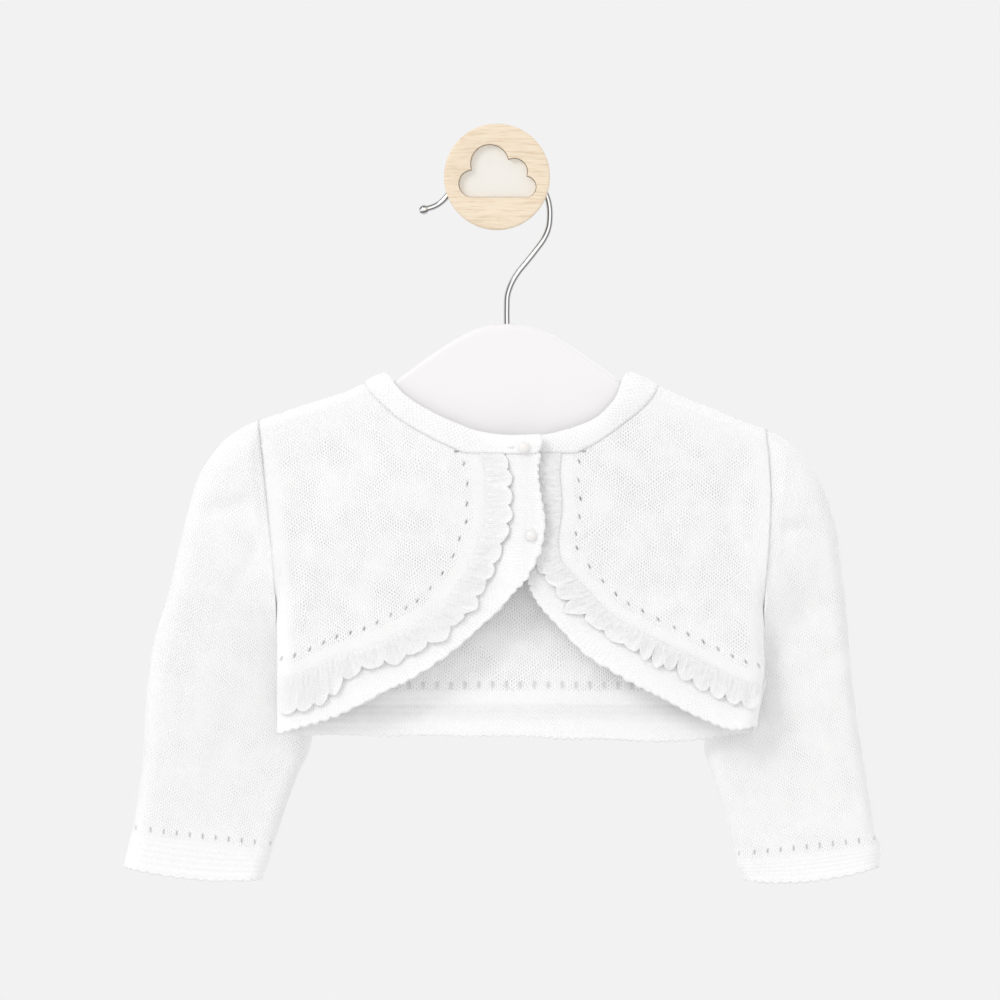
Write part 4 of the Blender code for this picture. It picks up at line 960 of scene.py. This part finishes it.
NECK_MIDDLE = np.array([5.0, HANG_Y, -112.0])
BUTTONHOLE = (8.0, -135.6)


def neck_stretch(rows, shares, face, layer):
    """Lower and upper edge of one stretch of the neckband. The lower one laps over the body's
    edge and lies a little off its surface."""
    line = curve_through(rows, shares)
    high = np.stack([line[:, 2], line[:, 4], line[:, 3]], axis=1)
    down = line[:, 0:2] - line[:, 2:4]
    down = down / np.linalg.norm(down, axis=1, keepdims=True)
    x, z = (line[:, 0:2] + down * NECK_SEAM_LAP).T
    z = np.minimum(z, shoulder_z(x))
    low_y = body_y(x, z, face) + lap_shift(x, layer) + face * 0.3
    return np.stack([np.stack([x, low_y, z], axis=1), high], axis=1)


def neckband_patch():
    """Straight across between its two edges, crowned by half a sine, with a ridge at the lower
    edge and a rolled upper edge."""
    fine = np.linspace(0.0, 1.0, 64) ** 1.3
    edges = np.concatenate([
        neck_stretch(NECK_LAP, np.linspace(0.0, 1.0, 36), -1, -1),
        neck_stretch(RIGHT_NECKBAND, fine, -1, -1)[::-1][1:],
        neck_stretch(BACK_NECKBAND, half_round(np.linspace(0.0, math.pi, 130)), 1, 0)[1:-1],
        neck_stretch(LEFT_NECKBAND, fine, -1, 1),
        neck_stretch(NECK_TUCK, np.linspace(0.0, 1.0, 30), -1, 1)[1:],
    ])
    pulled = 0.3 * (1.0 - rise(walked(edges[:, 0]), LAP_CORNER))[:, None]
    edges = np.stack([edges[:, 0] + (edges[:, 1] - edges[:, 0]) * pulled,
                      edges[:, 1] + (edges[:, 0] - edges[:, 1]) * pulled], axis=1)
    out = np.linspace(0.0, 1.0, NECK_COLUMNS)[None, :, None]
    grid = edges[:, 0][:, None] + (edges[:, 1] - edges[:, 0])[:, None] * out
    normals = outward_normals(grid, grid - NECK_MIDDLE)
    crown = NECK_CROWN * np.sin(out * math.pi) ** 0.8
    crown = crown + NECK_RIDGE * np.exp(-((out - 0.12) / 0.07) ** 2)
    from_hole = np.hypot((grid[..., 0] - BUTTONHOLE[0]) / 2.0, (grid[..., 2] - BUTTONHOLE[1]) / 0.7)
    at_front = grid[..., 1] < HANG_Y
    crown = crown - (0.5 * np.exp(-from_hole ** 2) * at_front)[..., None]
    grid = grid + normals * crown
    # The buttonhole slot's quads take the grey painted shade.
    kinds = np.where((from_hole < 0.75) & at_front, 1, 0)[:-1, :-1].ravel()
    along = walked(grid[:, NECK_COLUMNS // 2])[:, None] / STITCH_WIDE
    across = np.linspace(0.0, NECK_TALL, NECK_COLUMNS)[None, :] / STITCH_TALL
    uv = np.stack(np.broadcast_arrays(along, across), axis=-1)
    return patch(grid, uv.reshape(-1, 2), kinds)


def neck_way(points):
    """Away from the middle of the neck."""
    return points - NECK_MIDDLE


neck_knit = knit_material("white_neckband_knit", 0.22, 0.10, (0.965, 0.965, 0.965))
neck = cloth_sheet("neckband_cloth", [neckband_patch()], neck_way, CLOTH, [neck_knit, painted_hole_shade])
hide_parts("neckband")

# The sleeves hang from the armholes behind the body, flat tubes of plain knit, and the cuffs
# carry on below a row of eyelets. Rows: outer end x, z, y, half thickness; inner end the same;
# share kept forward; x, z the middle line bends towards.
RIGHT_SLEEVE = [
    (-125.5, -123.8, -38.0, 9.0, -110.2, -218.0, -35.0, 7.0, 0.45, -117.2, -212.0),
    (-135.7, -130.5, -38.0, 9.0, -109.8, -225.0, -31.4, 5.8, 0.42, -120.7, -218.0),
    (-143.5, -139.6, -37.8, 8.8, -109.4, -231.5, -27.0, 5.2, 0.36, -122.0, -226.0),
    (-149.0, -148.2, -37.2, 8.6, -109.0, -238.5, -23.0, 5.0, 0.26, -121.8, -234.0),
    (-154.0, -163.0, -36.0, 8.4, -106.3, -245.5, -19.6, 5.2, 0.12, -120.4, -240.5),
    (-160.3, -188.5, -34.0, 8.0, -102.6, -253.5, -17.2, 5.8, 0.0, -118.6, -247.0),
    (-166.0, -212.0, -32.0, 7.8, -98.2, -262.5, -15.6, 6.4, 0.0, -116.6, -255.0),
    (-171.9, -230.0, -30.0, 7.6, -94.6, -272.5, -14.8, 6.8, 0.0, -119.0, -264.0),
    (-175.9, -255.0, -28.0, 7.4, -93.6, -283.5, -14.8, 7.2, 0.0, -130.0, -273.0),
    (-178.5, -295.0, -25.6, 7.4, -101.6, -303.0, -16.0, 7.4, 0.0, -140.0, -299.0),
    (-180.8, -311.0, -24.7, 7.4, -107.2, -318.5, -16.8, 7.4, 0.0, -144.0, -315.0),
    (-182.7, -323.0, -24.0, 7.4, -111.6, -332.0, -17.4, 7.4, 0.0, -147.2, -327.5),
]
LEFT_SLEEVE = [
    (144.5, -131.1, -38.0, 9.0, 133.2, -218.0, -35.0, 7.0, 0.45, 140.4, -212.0),
    (154.1, -140.7, -38.0, 9.0, 132.9, -225.0, -31.4, 5.8, 0.40, 143.7, -218.0),
    (160.5, -148.7, -37.6, 8.8, 132.2, -231.5, -27.0, 5.2, 0.33, 144.8, -226.0),
    (166.3, -162.3, -36.8, 8.6, 131.8, -238.5, -23.0, 5.0, 0.22, 144.4, -234.0),
    (170.2, -175.0, -35.8, 8.4, 128.8, -246.0, -19.6, 5.2, 0.10, 142.8, -241.0),
    (173.2, -197.0, -34.0, 8.0, 123.6, -254.5, -17.2, 5.8, 0.0, 140.8, -248.0),
    (175.7, -218.0, -32.2, 7.8, 116.6, -263.8, -15.6, 6.4, 0.0, 137.4, -256.5),
    (177.5, -241.5, -30.2, 7.6, 109.6, -273.5, -14.8, 6.8, 0.0, 136.6, -265.5),
    (180.2, -264.0, -28.2, 7.4, 104.6, -284.0, -14.8, 7.2, 0.0, 140.4, -275.5),
    (184.9, -295.0, -26.0, 7.4, 109.6, -303.0, -16.0, 7.4, 0.0, 147.2, -299.0),
    (188.2, -316.0, -24.9, 7.4, 115.6, -321.0, -16.8, 7.4, 0.0, 152.0, -318.5),
    (190.4, -328.4, -24.2, 7.4, 119.8, -336.8, -17.4, 7.4, 0.0, 155.1, -332.6),
]
RIGHT_CUFF = [
    RIGHT_SLEEVE[-1],
    (-185.0, -333.0, -23.7, 7.8, -114.2, -341.0, -17.6, 7.8, 0.0, -149.6, -337.4),
    (-188.0, -345.2, -23.4, 8.0, -118.2, -351.8, -17.8, 8.0, 0.0, -153.1, -350.5),
]
LEFT_CUFF = [
    LEFT_SLEEVE[-1],
    (193.0, -336.5, -23.9, 7.8, 121.2, -345.0, -17.6, 7.8, 0.0, 157.1, -341.4),
    (192.6, -345.0, -23.6, 8.0, 125.0, -352.4, -17.8, 8.0, 0.0, 158.8, -352.0),
]
RIGHT_SLEEVE_FOLDS = [
    (-130.0, -164.0, 8.0, 16.0, 4.5, 2.0), (-126.0, -196.0, 62.0, 22.0, 5.0, 1.2),
    (-150.0, -232.0, -38.0, 22.0, 6.0, 1.0), (-138.0, -286.0, 74.0, 24.0, 7.0, 0.9),
]
LEFT_SLEEVE_FOLDS = [
    (146.0, -175.5, -4.0, 14.0, 4.0, 2.2), (150.0, -206.0, -66.0, 24.0, 5.0, 1.3),
    (160.0, -246.0, 34.0, 20.0, 6.0, 1.0), (152.0, -292.0, -72.0, 26.0, 7.0, 0.9),
]
TUBE_MIDDLE_Z = [-352.0, -280.0, -230.0, -120.0]
TUBE_MIDDLE_Y = [-20.5, -21.0, -30.0, -38.0]
SLEEVE_RINGS = 110
SLEEVE_WAVER = 0.25
SLEEVE_LEAN = 0.2
ARMHOLE_INSET = 0.05
ARMHOLE_OVERLAP = 0.15
CUFF_TILES = 11
CUFF_SAG = 2.0
CUFF_LEAN = 15.0
CUFF_STRIP = 2 * EYELET_HALF_STRIP
CUFF_RIDGES = 6


def flat_tube(lines, around):
    """Points of a flat tube with round edges; around runs once round it, out from the outer end.
    Half thickness climbs as a quarter circle from both ends."""
    share = half_round(around)
    lines = np.moveaxis(lines, -1, 0)
    outer = np.stack([lines[0], lines[2], lines[1]], axis=-1)
    inner = np.stack([lines[4], lines[6], lines[5]], axis=-1)
    bend = np.stack([lines[9], lines[6], lines[10]], axis=-1)
    length = np.linalg.norm((inner - outer)[..., [0, 2]], axis=-1)
    half = lines[3] + (lines[7] - lines[3]) * share
    depth = half * rise(np.minimum(share, 1 - share) * length, half)
    s = share[..., None]
    points = outer * (1 - s) ** 2 + bend * 2 * s * (1 - s) + inner * s ** 2
    back = ease((share - lines[8]) / (1.0 - lines[8]))
    points[..., 1] = outer[..., 1] + (inner - outer)[..., 1] * back - tube_side(around) * depth
    return points


def armhole_ring(side, around):
    """First ring of a sleeve, just inside the armhole edges of front and back."""
    face = tube_side(around)
    top_z = shoulder_z(side_x(SIDE_LINES[-1][0], side))
    z = top_z + (UNDERARM_Z - top_z) * half_round(around)
    x = side_x(z, side)
    y = np.where(face > 0, body_y(x, z, -1) + ARMHOLE_INSET,
                 np.where(face < 0, body_y(x, z, 1) - ARMHOLE_INSET, HANG_Y))
    return np.stack([x - side * ARMHOLE_OVERLAP, y, z], axis=-1)


def fold_tube(grid, folds, seed):
    """Press folds into a tube's front, and a slow waver all round."""
    normals = outward_normals(grid, grid - grid.mean(axis=1, keepdims=True), closed=True)
    push = soft_folds(grid[..., 0], grid[..., 2], folds) * np.clip(-normals[..., 1], 0.0, 1.0)
    push += slow_waver(grid[..., 0], grid[..., 2], SLEEVE_WAVER, seed) * np.abs(normals[..., 1])
    row = np.arange(len(grid))[:, None]
    away = ease(row / 8.0) * ease(row[::-1] / 10.0)
    return grid - normals * (push * away)[..., None]


def tube_way(points):
    """Forwards or backwards from the plane half way through a sleeve's depth."""
    middle_y = np.interp(points[:, 2], TUBE_MIDDLE_Z, TUBE_MIDDLE_Y)
    return (points - np.stack([middle_y] * 3, axis=1)) * [0.0, 1.0, 0.0]


def cuff_bounds():
    """Stations round the tube between the cuff's eyelets: evenly spaced across front and back."""
    front = np.arccos(1 - 2 * np.arange(CUFF_TILES + 1) / CUFF_TILES) / (2 * math.pi)
    return np.concatenate([front, 1.0 - front[::-1][1:]])


def cuff_place(rows, station, reach, lift):
    """Point at a station round the tube, reach millimetres below the cuff's top, lifted off it."""
    share = np.clip(reach / table_length(rows), 0.0, 1.0)
    around = station * 2 * math.pi
    points = flat_tube(curve_through(rows, share), around)
    points[..., 2] -= CUFF_SAG * share * np.sin(math.pi * half_round(around))
    points[..., 1] -= tube_side(around) * lift
    return points


def unrolled(rings):
    """Move for each point of a tube's rings that lays its round edges flat: outwards along the
    ring, by the length that the turn in depth hides between the point and the nearer middle."""
    half = rings.shape[1] // 2
    step = np.roll(rings, -1, axis=1) - rings
    hidden = np.linalg.norm(step, axis=-1) - np.linalg.norm(step[..., [0, 2]], axis=-1)
    way = np.concatenate([np.zeros((len(rings), 1)), np.cumsum(hidden, axis=1)], axis=1)
    front = way[:, :half] - way[:, half // 2][:, None]
    back = way[:, half + half // 2][:, None] - way[:, half:-1]
    inwards = rings[:, half] - rings[:, 0]
    inwards[:, 1] = 0.0
    inwards /= np.linalg.norm(inwards, axis=1)[:, None]
    return np.concatenate([front, back], axis=1)[..., None] * inwards[:, None]


def cuff_unrolled(rows, station):
    """The same move at stations round a cuff, read off its top ring."""
    dense = np.arange(240) / 240
    move = unrolled(cuff_place(rows, dense, 0.0 * dense, 0.0)[None])[0]
    return np.stack([np.interp(station % 1.0, dense, move[:, axis], period=1.0)
                     for axis in range(3)], axis=-1)


def cuff_patches(rows, wale_lean, seed):
    """A strip of eyelet tiles round the tube, then the cuff in flat ridges down to its hem, which
    has a small scallop for every third stitch."""
    tall = table_length(rows)
    bounds = cuff_bounds()
    perimeter = tile_perimeters(bounds, 0.0, CUFF_STRIP)
    middles = (bounds[1:] + bounds[:-1]) / 2
    centre = np.stack([middles, np.full(len(middles), EYELET_HALF_STRIP)], axis=1)
    near = [cuff_place(rows, middles + step, centre[:, 1], 0.0) for step in (-0.002, 0.002)]
    girth = np.linalg.norm(near[1] - near[0], axis=1) / 0.004
    girth = np.stack([girth, np.ones(len(middles))], axis=1)
    lean = np.radians(np.where(middles < 0.5, CUFF_LEAN, -CUFF_LEAN))
    way = np.stack([np.sin(lean), np.cos(lean)], axis=1)
    rings = eyelet_rings(centre * girth, perimeter * girth[:, None], way,
                         eyelet_sizes(len(middles), seed, CUFF_HOLE)) / girth[:, None, None]
    heights = np.broadcast_to(RING_HEIGHTS[None, :, None], rings.shape[:3])
    strip = cuff_place(rows, rings[..., 0], rings[..., 1], heights)
    laid_strip = strip + cuff_unrolled(rows, rings[..., 0])
    reach = np.linspace(CUFF_STRIP, tall, BAND_COLUMNS)[:, None]
    station, reach = np.broadcast_arrays(edge_stations(bounds)[:-1][None, :], reach)
    low = (reach - CUFF_STRIP) / (tall - CUFF_STRIP)
    ridges = 0.14 * np.sin(low * 2 * math.pi * CUFF_RIDGES) * ease(low * 6) + 0.25 * low ** 8
    grid = cuff_place(rows, station, reach, ridges)
    laid = grid + cuff_unrolled(rows, station)
    scallop = np.abs(np.sin(station * 36 * math.pi + 0.8 * np.sin(station * 21))) ** 0.8
    grid[..., 2] -= 1.1 * scallop * low ** 8
    return [tile_strip(strip, laid_strip, wale_lean),
            patch(grid, stitch_places(laid.reshape(-1, 3), wale_lean), 1, closed=True)]


def sleeve_patch(side, rows, folds, seed):
    """The sleeve from its armhole ring to the ring above the cuff's eyelets. Its wales run down
    along it, leaning outwards, on front and back alike."""
    around = edge_stations(cuff_bounds())[:-1] * 2 * math.pi
    lines = curve_through(rows, np.linspace(0.0, 1.0, SLEEVE_RINGS), lead=6)[:, None]
    rings = flat_tube(lines, around)
    ring = armhole_ring(side, around)
    blend = np.array([0.0, 0.33, 0.66])[:, None, None]
    grid = np.concatenate([ring + (rings[0] - ring) * blend, rings])
    laid = unrolled(grid)
    grid = fold_tube(grid, folds, seed)
    uv = stitch_places((grid + laid).reshape(-1, 3), side * SLEEVE_LEAN)
    return patch(grid, uv, closed=True)


sleeve_knit = knit_material("white_plain_knit_sleeve", 0.28, 0.12, (0.975, 0.975, 0.975))
cuff_knit = knit_material("white_flat_ridged_knit", 0.10, 0.09, (0.97, 0.97, 0.97))
for name, side, rows, cuff_rows, folds, seed in (
        ("right", -1, RIGHT_SLEEVE, RIGHT_CUFF, RIGHT_SLEEVE_FOLDS, 7),
        ("left", 1, LEFT_SLEEVE, LEFT_CUFF, LEFT_SLEEVE_FOLDS, 8)):
    piece = cloth_sheet(
        name + "_sleeve_cloth",
        [sleeve_patch(side, rows, folds, seed)] + cuff_patches(cuff_rows, side * SLEEVE_LEAN, seed),
        tube_way, CLOTH, [sleeve_knit, cuff_knit, painted_hole_shade])
    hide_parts(name + "_sleeve", name + "_cuff")

# Two half-round pearl buttons hold the right front's edge over the left one. Each is a turned
# dome with a small rounded foot, glossy, with a faint shimmer of cream, pink and green.
BUTTON_RADIUS = 2.8
BUTTON_HEIGHT = 2.3
BUTTON_GAP = 0.3
BUTTON_RIM = 0.35
BUTTON_SIDES = 48
BUTTONS = [
    ("top_button", "button_top", 13.5, -135.4, 1.2), ("lower_button", "button_lower", 17.0, -179.5, 0.0),
]

pearl = plain_material("pearl_gloss", (0.84, 0.83, 0.80), 0.12)
pearl_stops = [(0.0, (0.80, 0.77, 0.70)), (0.5, (0.87, 0.85, 0.83)), (1.0, (0.84, 0.86, 0.84))]
fill_shader(pearl, {
    "Base Color": colour_ramp(pearl, noise(pearl, 420.0, 2.0).outputs["Fac"], pearl_stops),
    "Coat Weight": 0.6, "Coat Roughness": 0.05, "Subsurface Weight": 0.15, "Subsurface Scale": 0.001,
})


def turned(profile, around):
    """Points of a turned shape about the Y axis: radius and depth pairs carried round a circle."""
    profile = np.array(profile)
    turn = np.arange(around) * 2 * math.pi / around
    return np.stack([profile[:, :1] * np.cos(turn), profile[:, 1:] + 0.0 * turn,
                     profile[:, :1] * np.sin(turn)], axis=-1)


for name, node, x, z, stand in BUTTONS:
    climb = np.linspace(0.0, math.pi / 2, 22)
    dome = np.stack([BUTTON_RADIUS * np.cos(climb),
                     -BUTTON_RIM - (BUTTON_HEIGHT - BUTTON_RIM) * np.sin(climb)], axis=1)
    dome[-1, 0] = 0.01
    foot = [(0.01, 0.0), (BUTTON_RADIUS * 0.80, 0.0), (BUTTON_RADIUS * 0.93, -0.08),
            (BUTTON_RADIUS * 0.985, -0.2)]
    grid = turned(np.concatenate([foot, dome]), BUTTON_SIDES)
    grid += np.array([x, body_y(np.array(x), np.array(z), -1) - LAP_LIFT - stand - BUTTON_GAP, z])
    hard_piece(name, grid, pearl, node)

# The child's hanger: a flat white moulded plate with rounded edges, its middle seen in the neck
# opening and its arms inside the shoulders.
HANGER_X = 5.0
HANGER_THICKNESS = 6.0
HANGER_ROUND = 2.4
HANGER_TIP_TAPER = 6.0
HANGER_STATIONS = 120
HANGER_SIDES = 64
HANGER_TOP = [
    (0.0, -72.9), (8.0, -73.4), (16.0, -75.6), (24.5, -79.8), (35.0, -86.4), (46.0, -94.2),
    (56.0, -101.4), (66.0, -107.8), (80.0, -112.6), (100.0, -119.4), (118.0, -126.8),
    (132.0, -133.2), (141.0, -140.5), (146.0, -150.0),
]
HANGER_LOW = [
    (0.0, -146.0), (45.0, -143.5), (80.0, -143.0), (108.0, -151.0), (128.0, -161.0),
    (139.0, -163.0), (145.0, -158.0), (146.0, -150.2),
]
white_plastic = plain_material("white_hanger_plastic", (0.87, 0.855, 0.862), 0.42)
add_relief(white_plastic, noise(white_plastic, 1400.0, 3.0).outputs["Fac"], 0.25, 0.00005)


def hanger_points():
    """Sections at stations along the hanger: each runs from the top line to the low line as a
    rounded bar, whose half thickness climbs as a quarter circle from both lines."""
    share = np.linspace(0.0, 1.0, HANGER_STATIONS)
    top = curve_through(HANGER_TOP, share)
    low = curve_through(HANGER_LOW, share)
    half = [np.concatenate([line[::-1] * [-1, 1], line[1:]]) for line in (top, low)]
    turn = np.arange(HANGER_SIDES) * 2 * math.pi / HANGER_SIDES
    across = half_round(turn)[None, :, None]
    flat = half[0][:, None] * (1 - across) + half[1][:, None] * across
    height = np.linalg.norm(half[1] - half[0], axis=1)[:, None]
    edge = np.minimum(across[..., 0], 1 - across[..., 0]) * height
    depth = HANGER_THICKNESS / 2 * rise(edge, HANGER_ROUND) * rise(height, HANGER_TIP_TAPER)
    return np.stack([HANGER_X + flat[..., 0], HANG_Y - tube_side(turn) * depth, flat[..., 1]], axis=-1)


hard_piece("hanger_plate", hanger_points(), white_plastic, "hanger_body")

# The hook: one bent chrome wire, from the hanger up round the peg to a flared tip with a ball.
# Its colour carries painted reflections in bands round the wire.
WIRE_RADIUS = 1.6
BALL_RADIUS = 2.5
HOOK_STEM = [
    (4.9, -84.6), (4.9, -72.9), (4.9, -64.9), (5.2, -59.1), (7.0, -53.4), (10.4, -47.6),
    (15.0, -41.9), (19.5, -36.2), (23.6, -30.4), (25.9, -24.7),
]
HOOK_CENTRE = (0.5, -18.0)
HOOK_RADIUS = 26.0
HOOK_TIP = [(-24.3, -8.2), (-26.7, -11.0), (-29.4, -13.2), (-32.2, -14.6), (-34.8, -15.4)]
WIRE_SIDES = 24
WIRE_STEPS = 300
# Painted reflection: grey levels of light and dark bands by place round the wire.
PAINTED_REFLECTION_EDGE = (0.80, 0.80, 0.81)
PAINTED_REFLECTION_BANDS = [
    (0.22, 0.7), (0.32, 0.10), (0.40, 0.25), (0.46, 0.98), (0.56, 0.98), (0.62, 0.5), (0.72, 0.08),
    (0.80, 0.65),
]

chrome = plain_material("chrome_wire", (0.6, 0.6, 0.6), 0.10)
chrome_wear = add_node(chrome, "MapRange", {
    "Value": noise(chrome, 300.0, 4.0).outputs["Fac"], "To Min": 0.06, "To Max": 0.2,
})
chrome_round = add_node(chrome, "UVMap", {}, uv_map="stitches")
chrome_split = add_node(chrome, "SeparateXYZ", {"Vector": chrome_round.outputs["UV"]})
chrome_wrap = add_node(chrome, "Math", {0: chrome_split.outputs["X"]}, operation="FRACT")
painted_reflection_stops = [(place, (level, level, level)) for place, level in PAINTED_REFLECTION_BANDS]
painted_reflection_stops = [(0.0, PAINTED_REFLECTION_EDGE)] + painted_reflection_stops + [(1.0, PAINTED_REFLECTION_EDGE)]
# The wire's colour is the painted reflection bands, read from its turn round the wire.
fill_shader(chrome, {
    "Metallic": 1.0, "Roughness": chrome_wear.outputs["Result"],
    "Base Color": colour_ramp(chrome, chrome_wrap.outputs["Value"], painted_reflection_stops),
})


def wire_points():
    """Circles square to the middle line, which runs through the stem, the loop and the tip; the
    last ones open and close again as a ball."""
    turns = np.radians(np.linspace(-3.0, 150.0, 18))
    loop = [(HOOK_CENTRE[0] + HOOK_RADIUS * math.cos(a), HOOK_CENTRE[1] + HOOK_RADIUS * math.sin(a))
            for a in turns]
    path = curve_through(HOOK_STEM + loop + HOOK_TIP, np.linspace(0.0, 1.0, WIRE_STEPS))
    tangent = np.gradient(path, axis=0)
    tangent /= np.linalg.norm(tangent, axis=1, keepdims=True)
    ahead = tangent[-1]
    ball = -np.cos(np.linspace(0.9, math.pi - 0.03, 24))
    path = np.concatenate([path, path[-1] + ahead * (ball[:, None] + 0.75) * BALL_RADIUS])
    tangent = np.concatenate([tangent, np.repeat(ahead[None], len(ball), axis=0)])
    radii = np.concatenate([np.full(WIRE_STEPS, WIRE_RADIUS), BALL_RADIUS * np.sqrt(1 - ball ** 2)])
    radii = radii[:, None]
    turn = np.arange(WIRE_SIDES) * 2 * math.pi / WIRE_SIDES
    reach = radii * np.cos(turn)
    return np.stack([path[:, :1] + tangent[:, 1:] * reach, HANG_Y + radii * np.sin(turn),
                     path[:, 1:] - tangent[:, :1] * reach], axis=-1)


# The turn round the wire, twice round, places the painted reflection bands.
round_twice = (np.arange(WIRE_SIDES) * 2.0 / WIRE_SIDES) % 1.0
hard_piece("hook", wire_points(), chrome, "hook_wire", round_twice)

# The wall peg: a round of pale wood with a cloud-shaped recess, painted off-white inside, on a
# dowel that is fixed in the wall. The grain runs level across the disc.
PEG_SIDES = 360
SHARP_EDGE = math.radians(50.0)
DISC_RADIUS = 26.5
DISC_BACK_Y = -44.0
DISC_FRONT_Y = -52.0
RECESS_FLOOR_Y = -47.0
ROUNDED_EDGE = [(0.9, 0.0), (0.45, 0.12), (0.12, 0.45), (0.0, 0.9)]
INLAY_INSET = 0.3
INLAY_FRONT_Y = RECESS_FLOOR_Y - 0.3
INLAY_BACK_Y = RECESS_FLOOR_Y - 1.3
CLOUD_BASE_Z = -10.3
CLOUD_BASE_X = (-12.2, 14.2)
CLOUD_CENTRE = (0.5, -3.5)
CLOUD_LOBES = [
    (-3.6, 6.6, 9.7), (-12.2, -3.4, 7.0), (8.6, 2.6, 6.8), (14.2, -5.0, 5.5), (0.0, -3.0, 9.0),
]

pale_wood = plain_material("pale_wood_grain", (0.88, 0.74, 0.55), 0.55)
wood_place = add_node(pale_wood, "TexCoord", {}).outputs["Object"]
wood_stretch = add_node(pale_wood, "Mapping", {"Vector": wood_place, "Scale": (70.0, 160.0, 800.0)})
wood_grain = add_node(pale_wood, "TexNoise", {
    "Vector": wood_stretch.outputs["Vector"], "Scale": 1.4, "Detail": 6.0, "Roughness": 0.6,
    "Distortion": 0.3,
}).outputs["Fac"]
wood_stops = [(0.32, (0.70, 0.55, 0.385)), (0.5, (0.835, 0.70, 0.535)), (0.72, (0.865, 0.75, 0.59))]
fill_shader(pale_wood, {"Base Color": colour_ramp(pale_wood, wood_grain, wood_stops)})
add_relief(pale_wood, wood_grain, 0.4, 0.0001)
inlay_paint = plain_material("off_white_paint", (0.83, 0.805, 0.755), 0.6)


def cloud_reach(angles, inset):
    """How far the cloud reaches from its centre at each angle: the farthest lobe along the ray,
    and the flat base where the ray comes out between its ends."""
    ray = np.stack([np.cos(angles), np.sin(angles)], axis=-1)
    lobes = np.array(CLOUD_LOBES)
    to = lobes[:, :2] - np.array(CLOUD_CENTRE)
    near = ray @ to.T
    miss = (lobes[:, 2] - inset) ** 2 - ((to ** 2).sum(axis=1) - near ** 2)
    reach = np.where(miss > 0, near + np.sqrt(np.maximum(miss, 0.0)), 0.0).max(axis=1)
    down = np.minimum(ray[:, 1], -1e-6)
    to_base = (CLOUD_BASE_Z + inset - CLOUD_CENTRE[1]) / down
    base_x = CLOUD_CENTRE[0] + ray[:, 0] * to_base
    on_base = (ray[:, 1] < 0) & (base_x > CLOUD_BASE_X[0]) & (base_x < CLOUD_BASE_X[1])
    return np.where(on_base, to_base, np.where(ray[:, 1] < 0, np.minimum(reach, to_base), reach))


def polar_rings(rings, count):
    """Points of closed rings about the cloud's centre: each ring gives its reach and its depth."""
    angles = np.arange(count) * 2 * math.pi / count
    ray = np.stack([np.cos(angles), np.sin(angles)], axis=-1)
    to_middle = -(ray @ np.array(CLOUD_CENTRE))
    clear = np.array(CLOUD_CENTRE) @ np.array(CLOUD_CENTRE)
    made = []
    for kind, inset, y in rings:
        if kind == "cloud":
            reach = cloud_reach(angles, inset)
        elif kind == "centre":
            reach = np.full(count, 0.02)
        else:
            reach = to_middle + np.sqrt((DISC_RADIUS - inset) ** 2 - clear + to_middle ** 2)
        made.append(np.stack([CLOUD_CENTRE[0] + ray[:, 0] * reach, np.full(count, y),
                              CLOUD_CENTRE[1] + ray[:, 1] * reach], axis=-1))
    return np.array(made)


def ringed_piece(name, rings, material, node):
    """Join closed rings into one piece with sharp edges."""
    piece = hard_piece(name, polar_rings(rings, PEG_SIDES), material, node)
    piece.data.set_sharp_from_angle(angle=SHARP_EDGE)


ringed_piece("wooden_disc", [
    ("centre", 0.0, RECESS_FLOOR_Y), ("cloud", 0.02, RECESS_FLOOR_Y), ("cloud", 0.0, RECESS_FLOOR_Y),
    ("cloud", 0.0, DISC_FRONT_Y + 0.35), ("cloud", -0.1, DISC_FRONT_Y + 0.1),
    ("cloud", -0.35, DISC_FRONT_Y), ("rim", 2.0, DISC_FRONT_Y),
    *[("rim", inset, DISC_FRONT_Y + depth) for inset, depth in ROUNDED_EDGE],
    *[("rim", inset, DISC_BACK_Y - depth) for inset, depth in ROUNDED_EDGE[::-1]],
    ("centre", 0.0, DISC_BACK_Y),
], pale_wood, "peg_disc")
ringed_piece("cloud_floor", [
    ("centre", 0.0, INLAY_FRONT_Y), ("cloud", INLAY_INSET, INLAY_FRONT_Y),
    ("cloud", INLAY_INSET, INLAY_BACK_Y), ("centre", 0.0, INLAY_BACK_Y),
], inlay_paint, "cloud_inlay")
for slot_place in bpy.data.objects["peg_dowel"].material_slots:
    slot_place.material = pale_wood
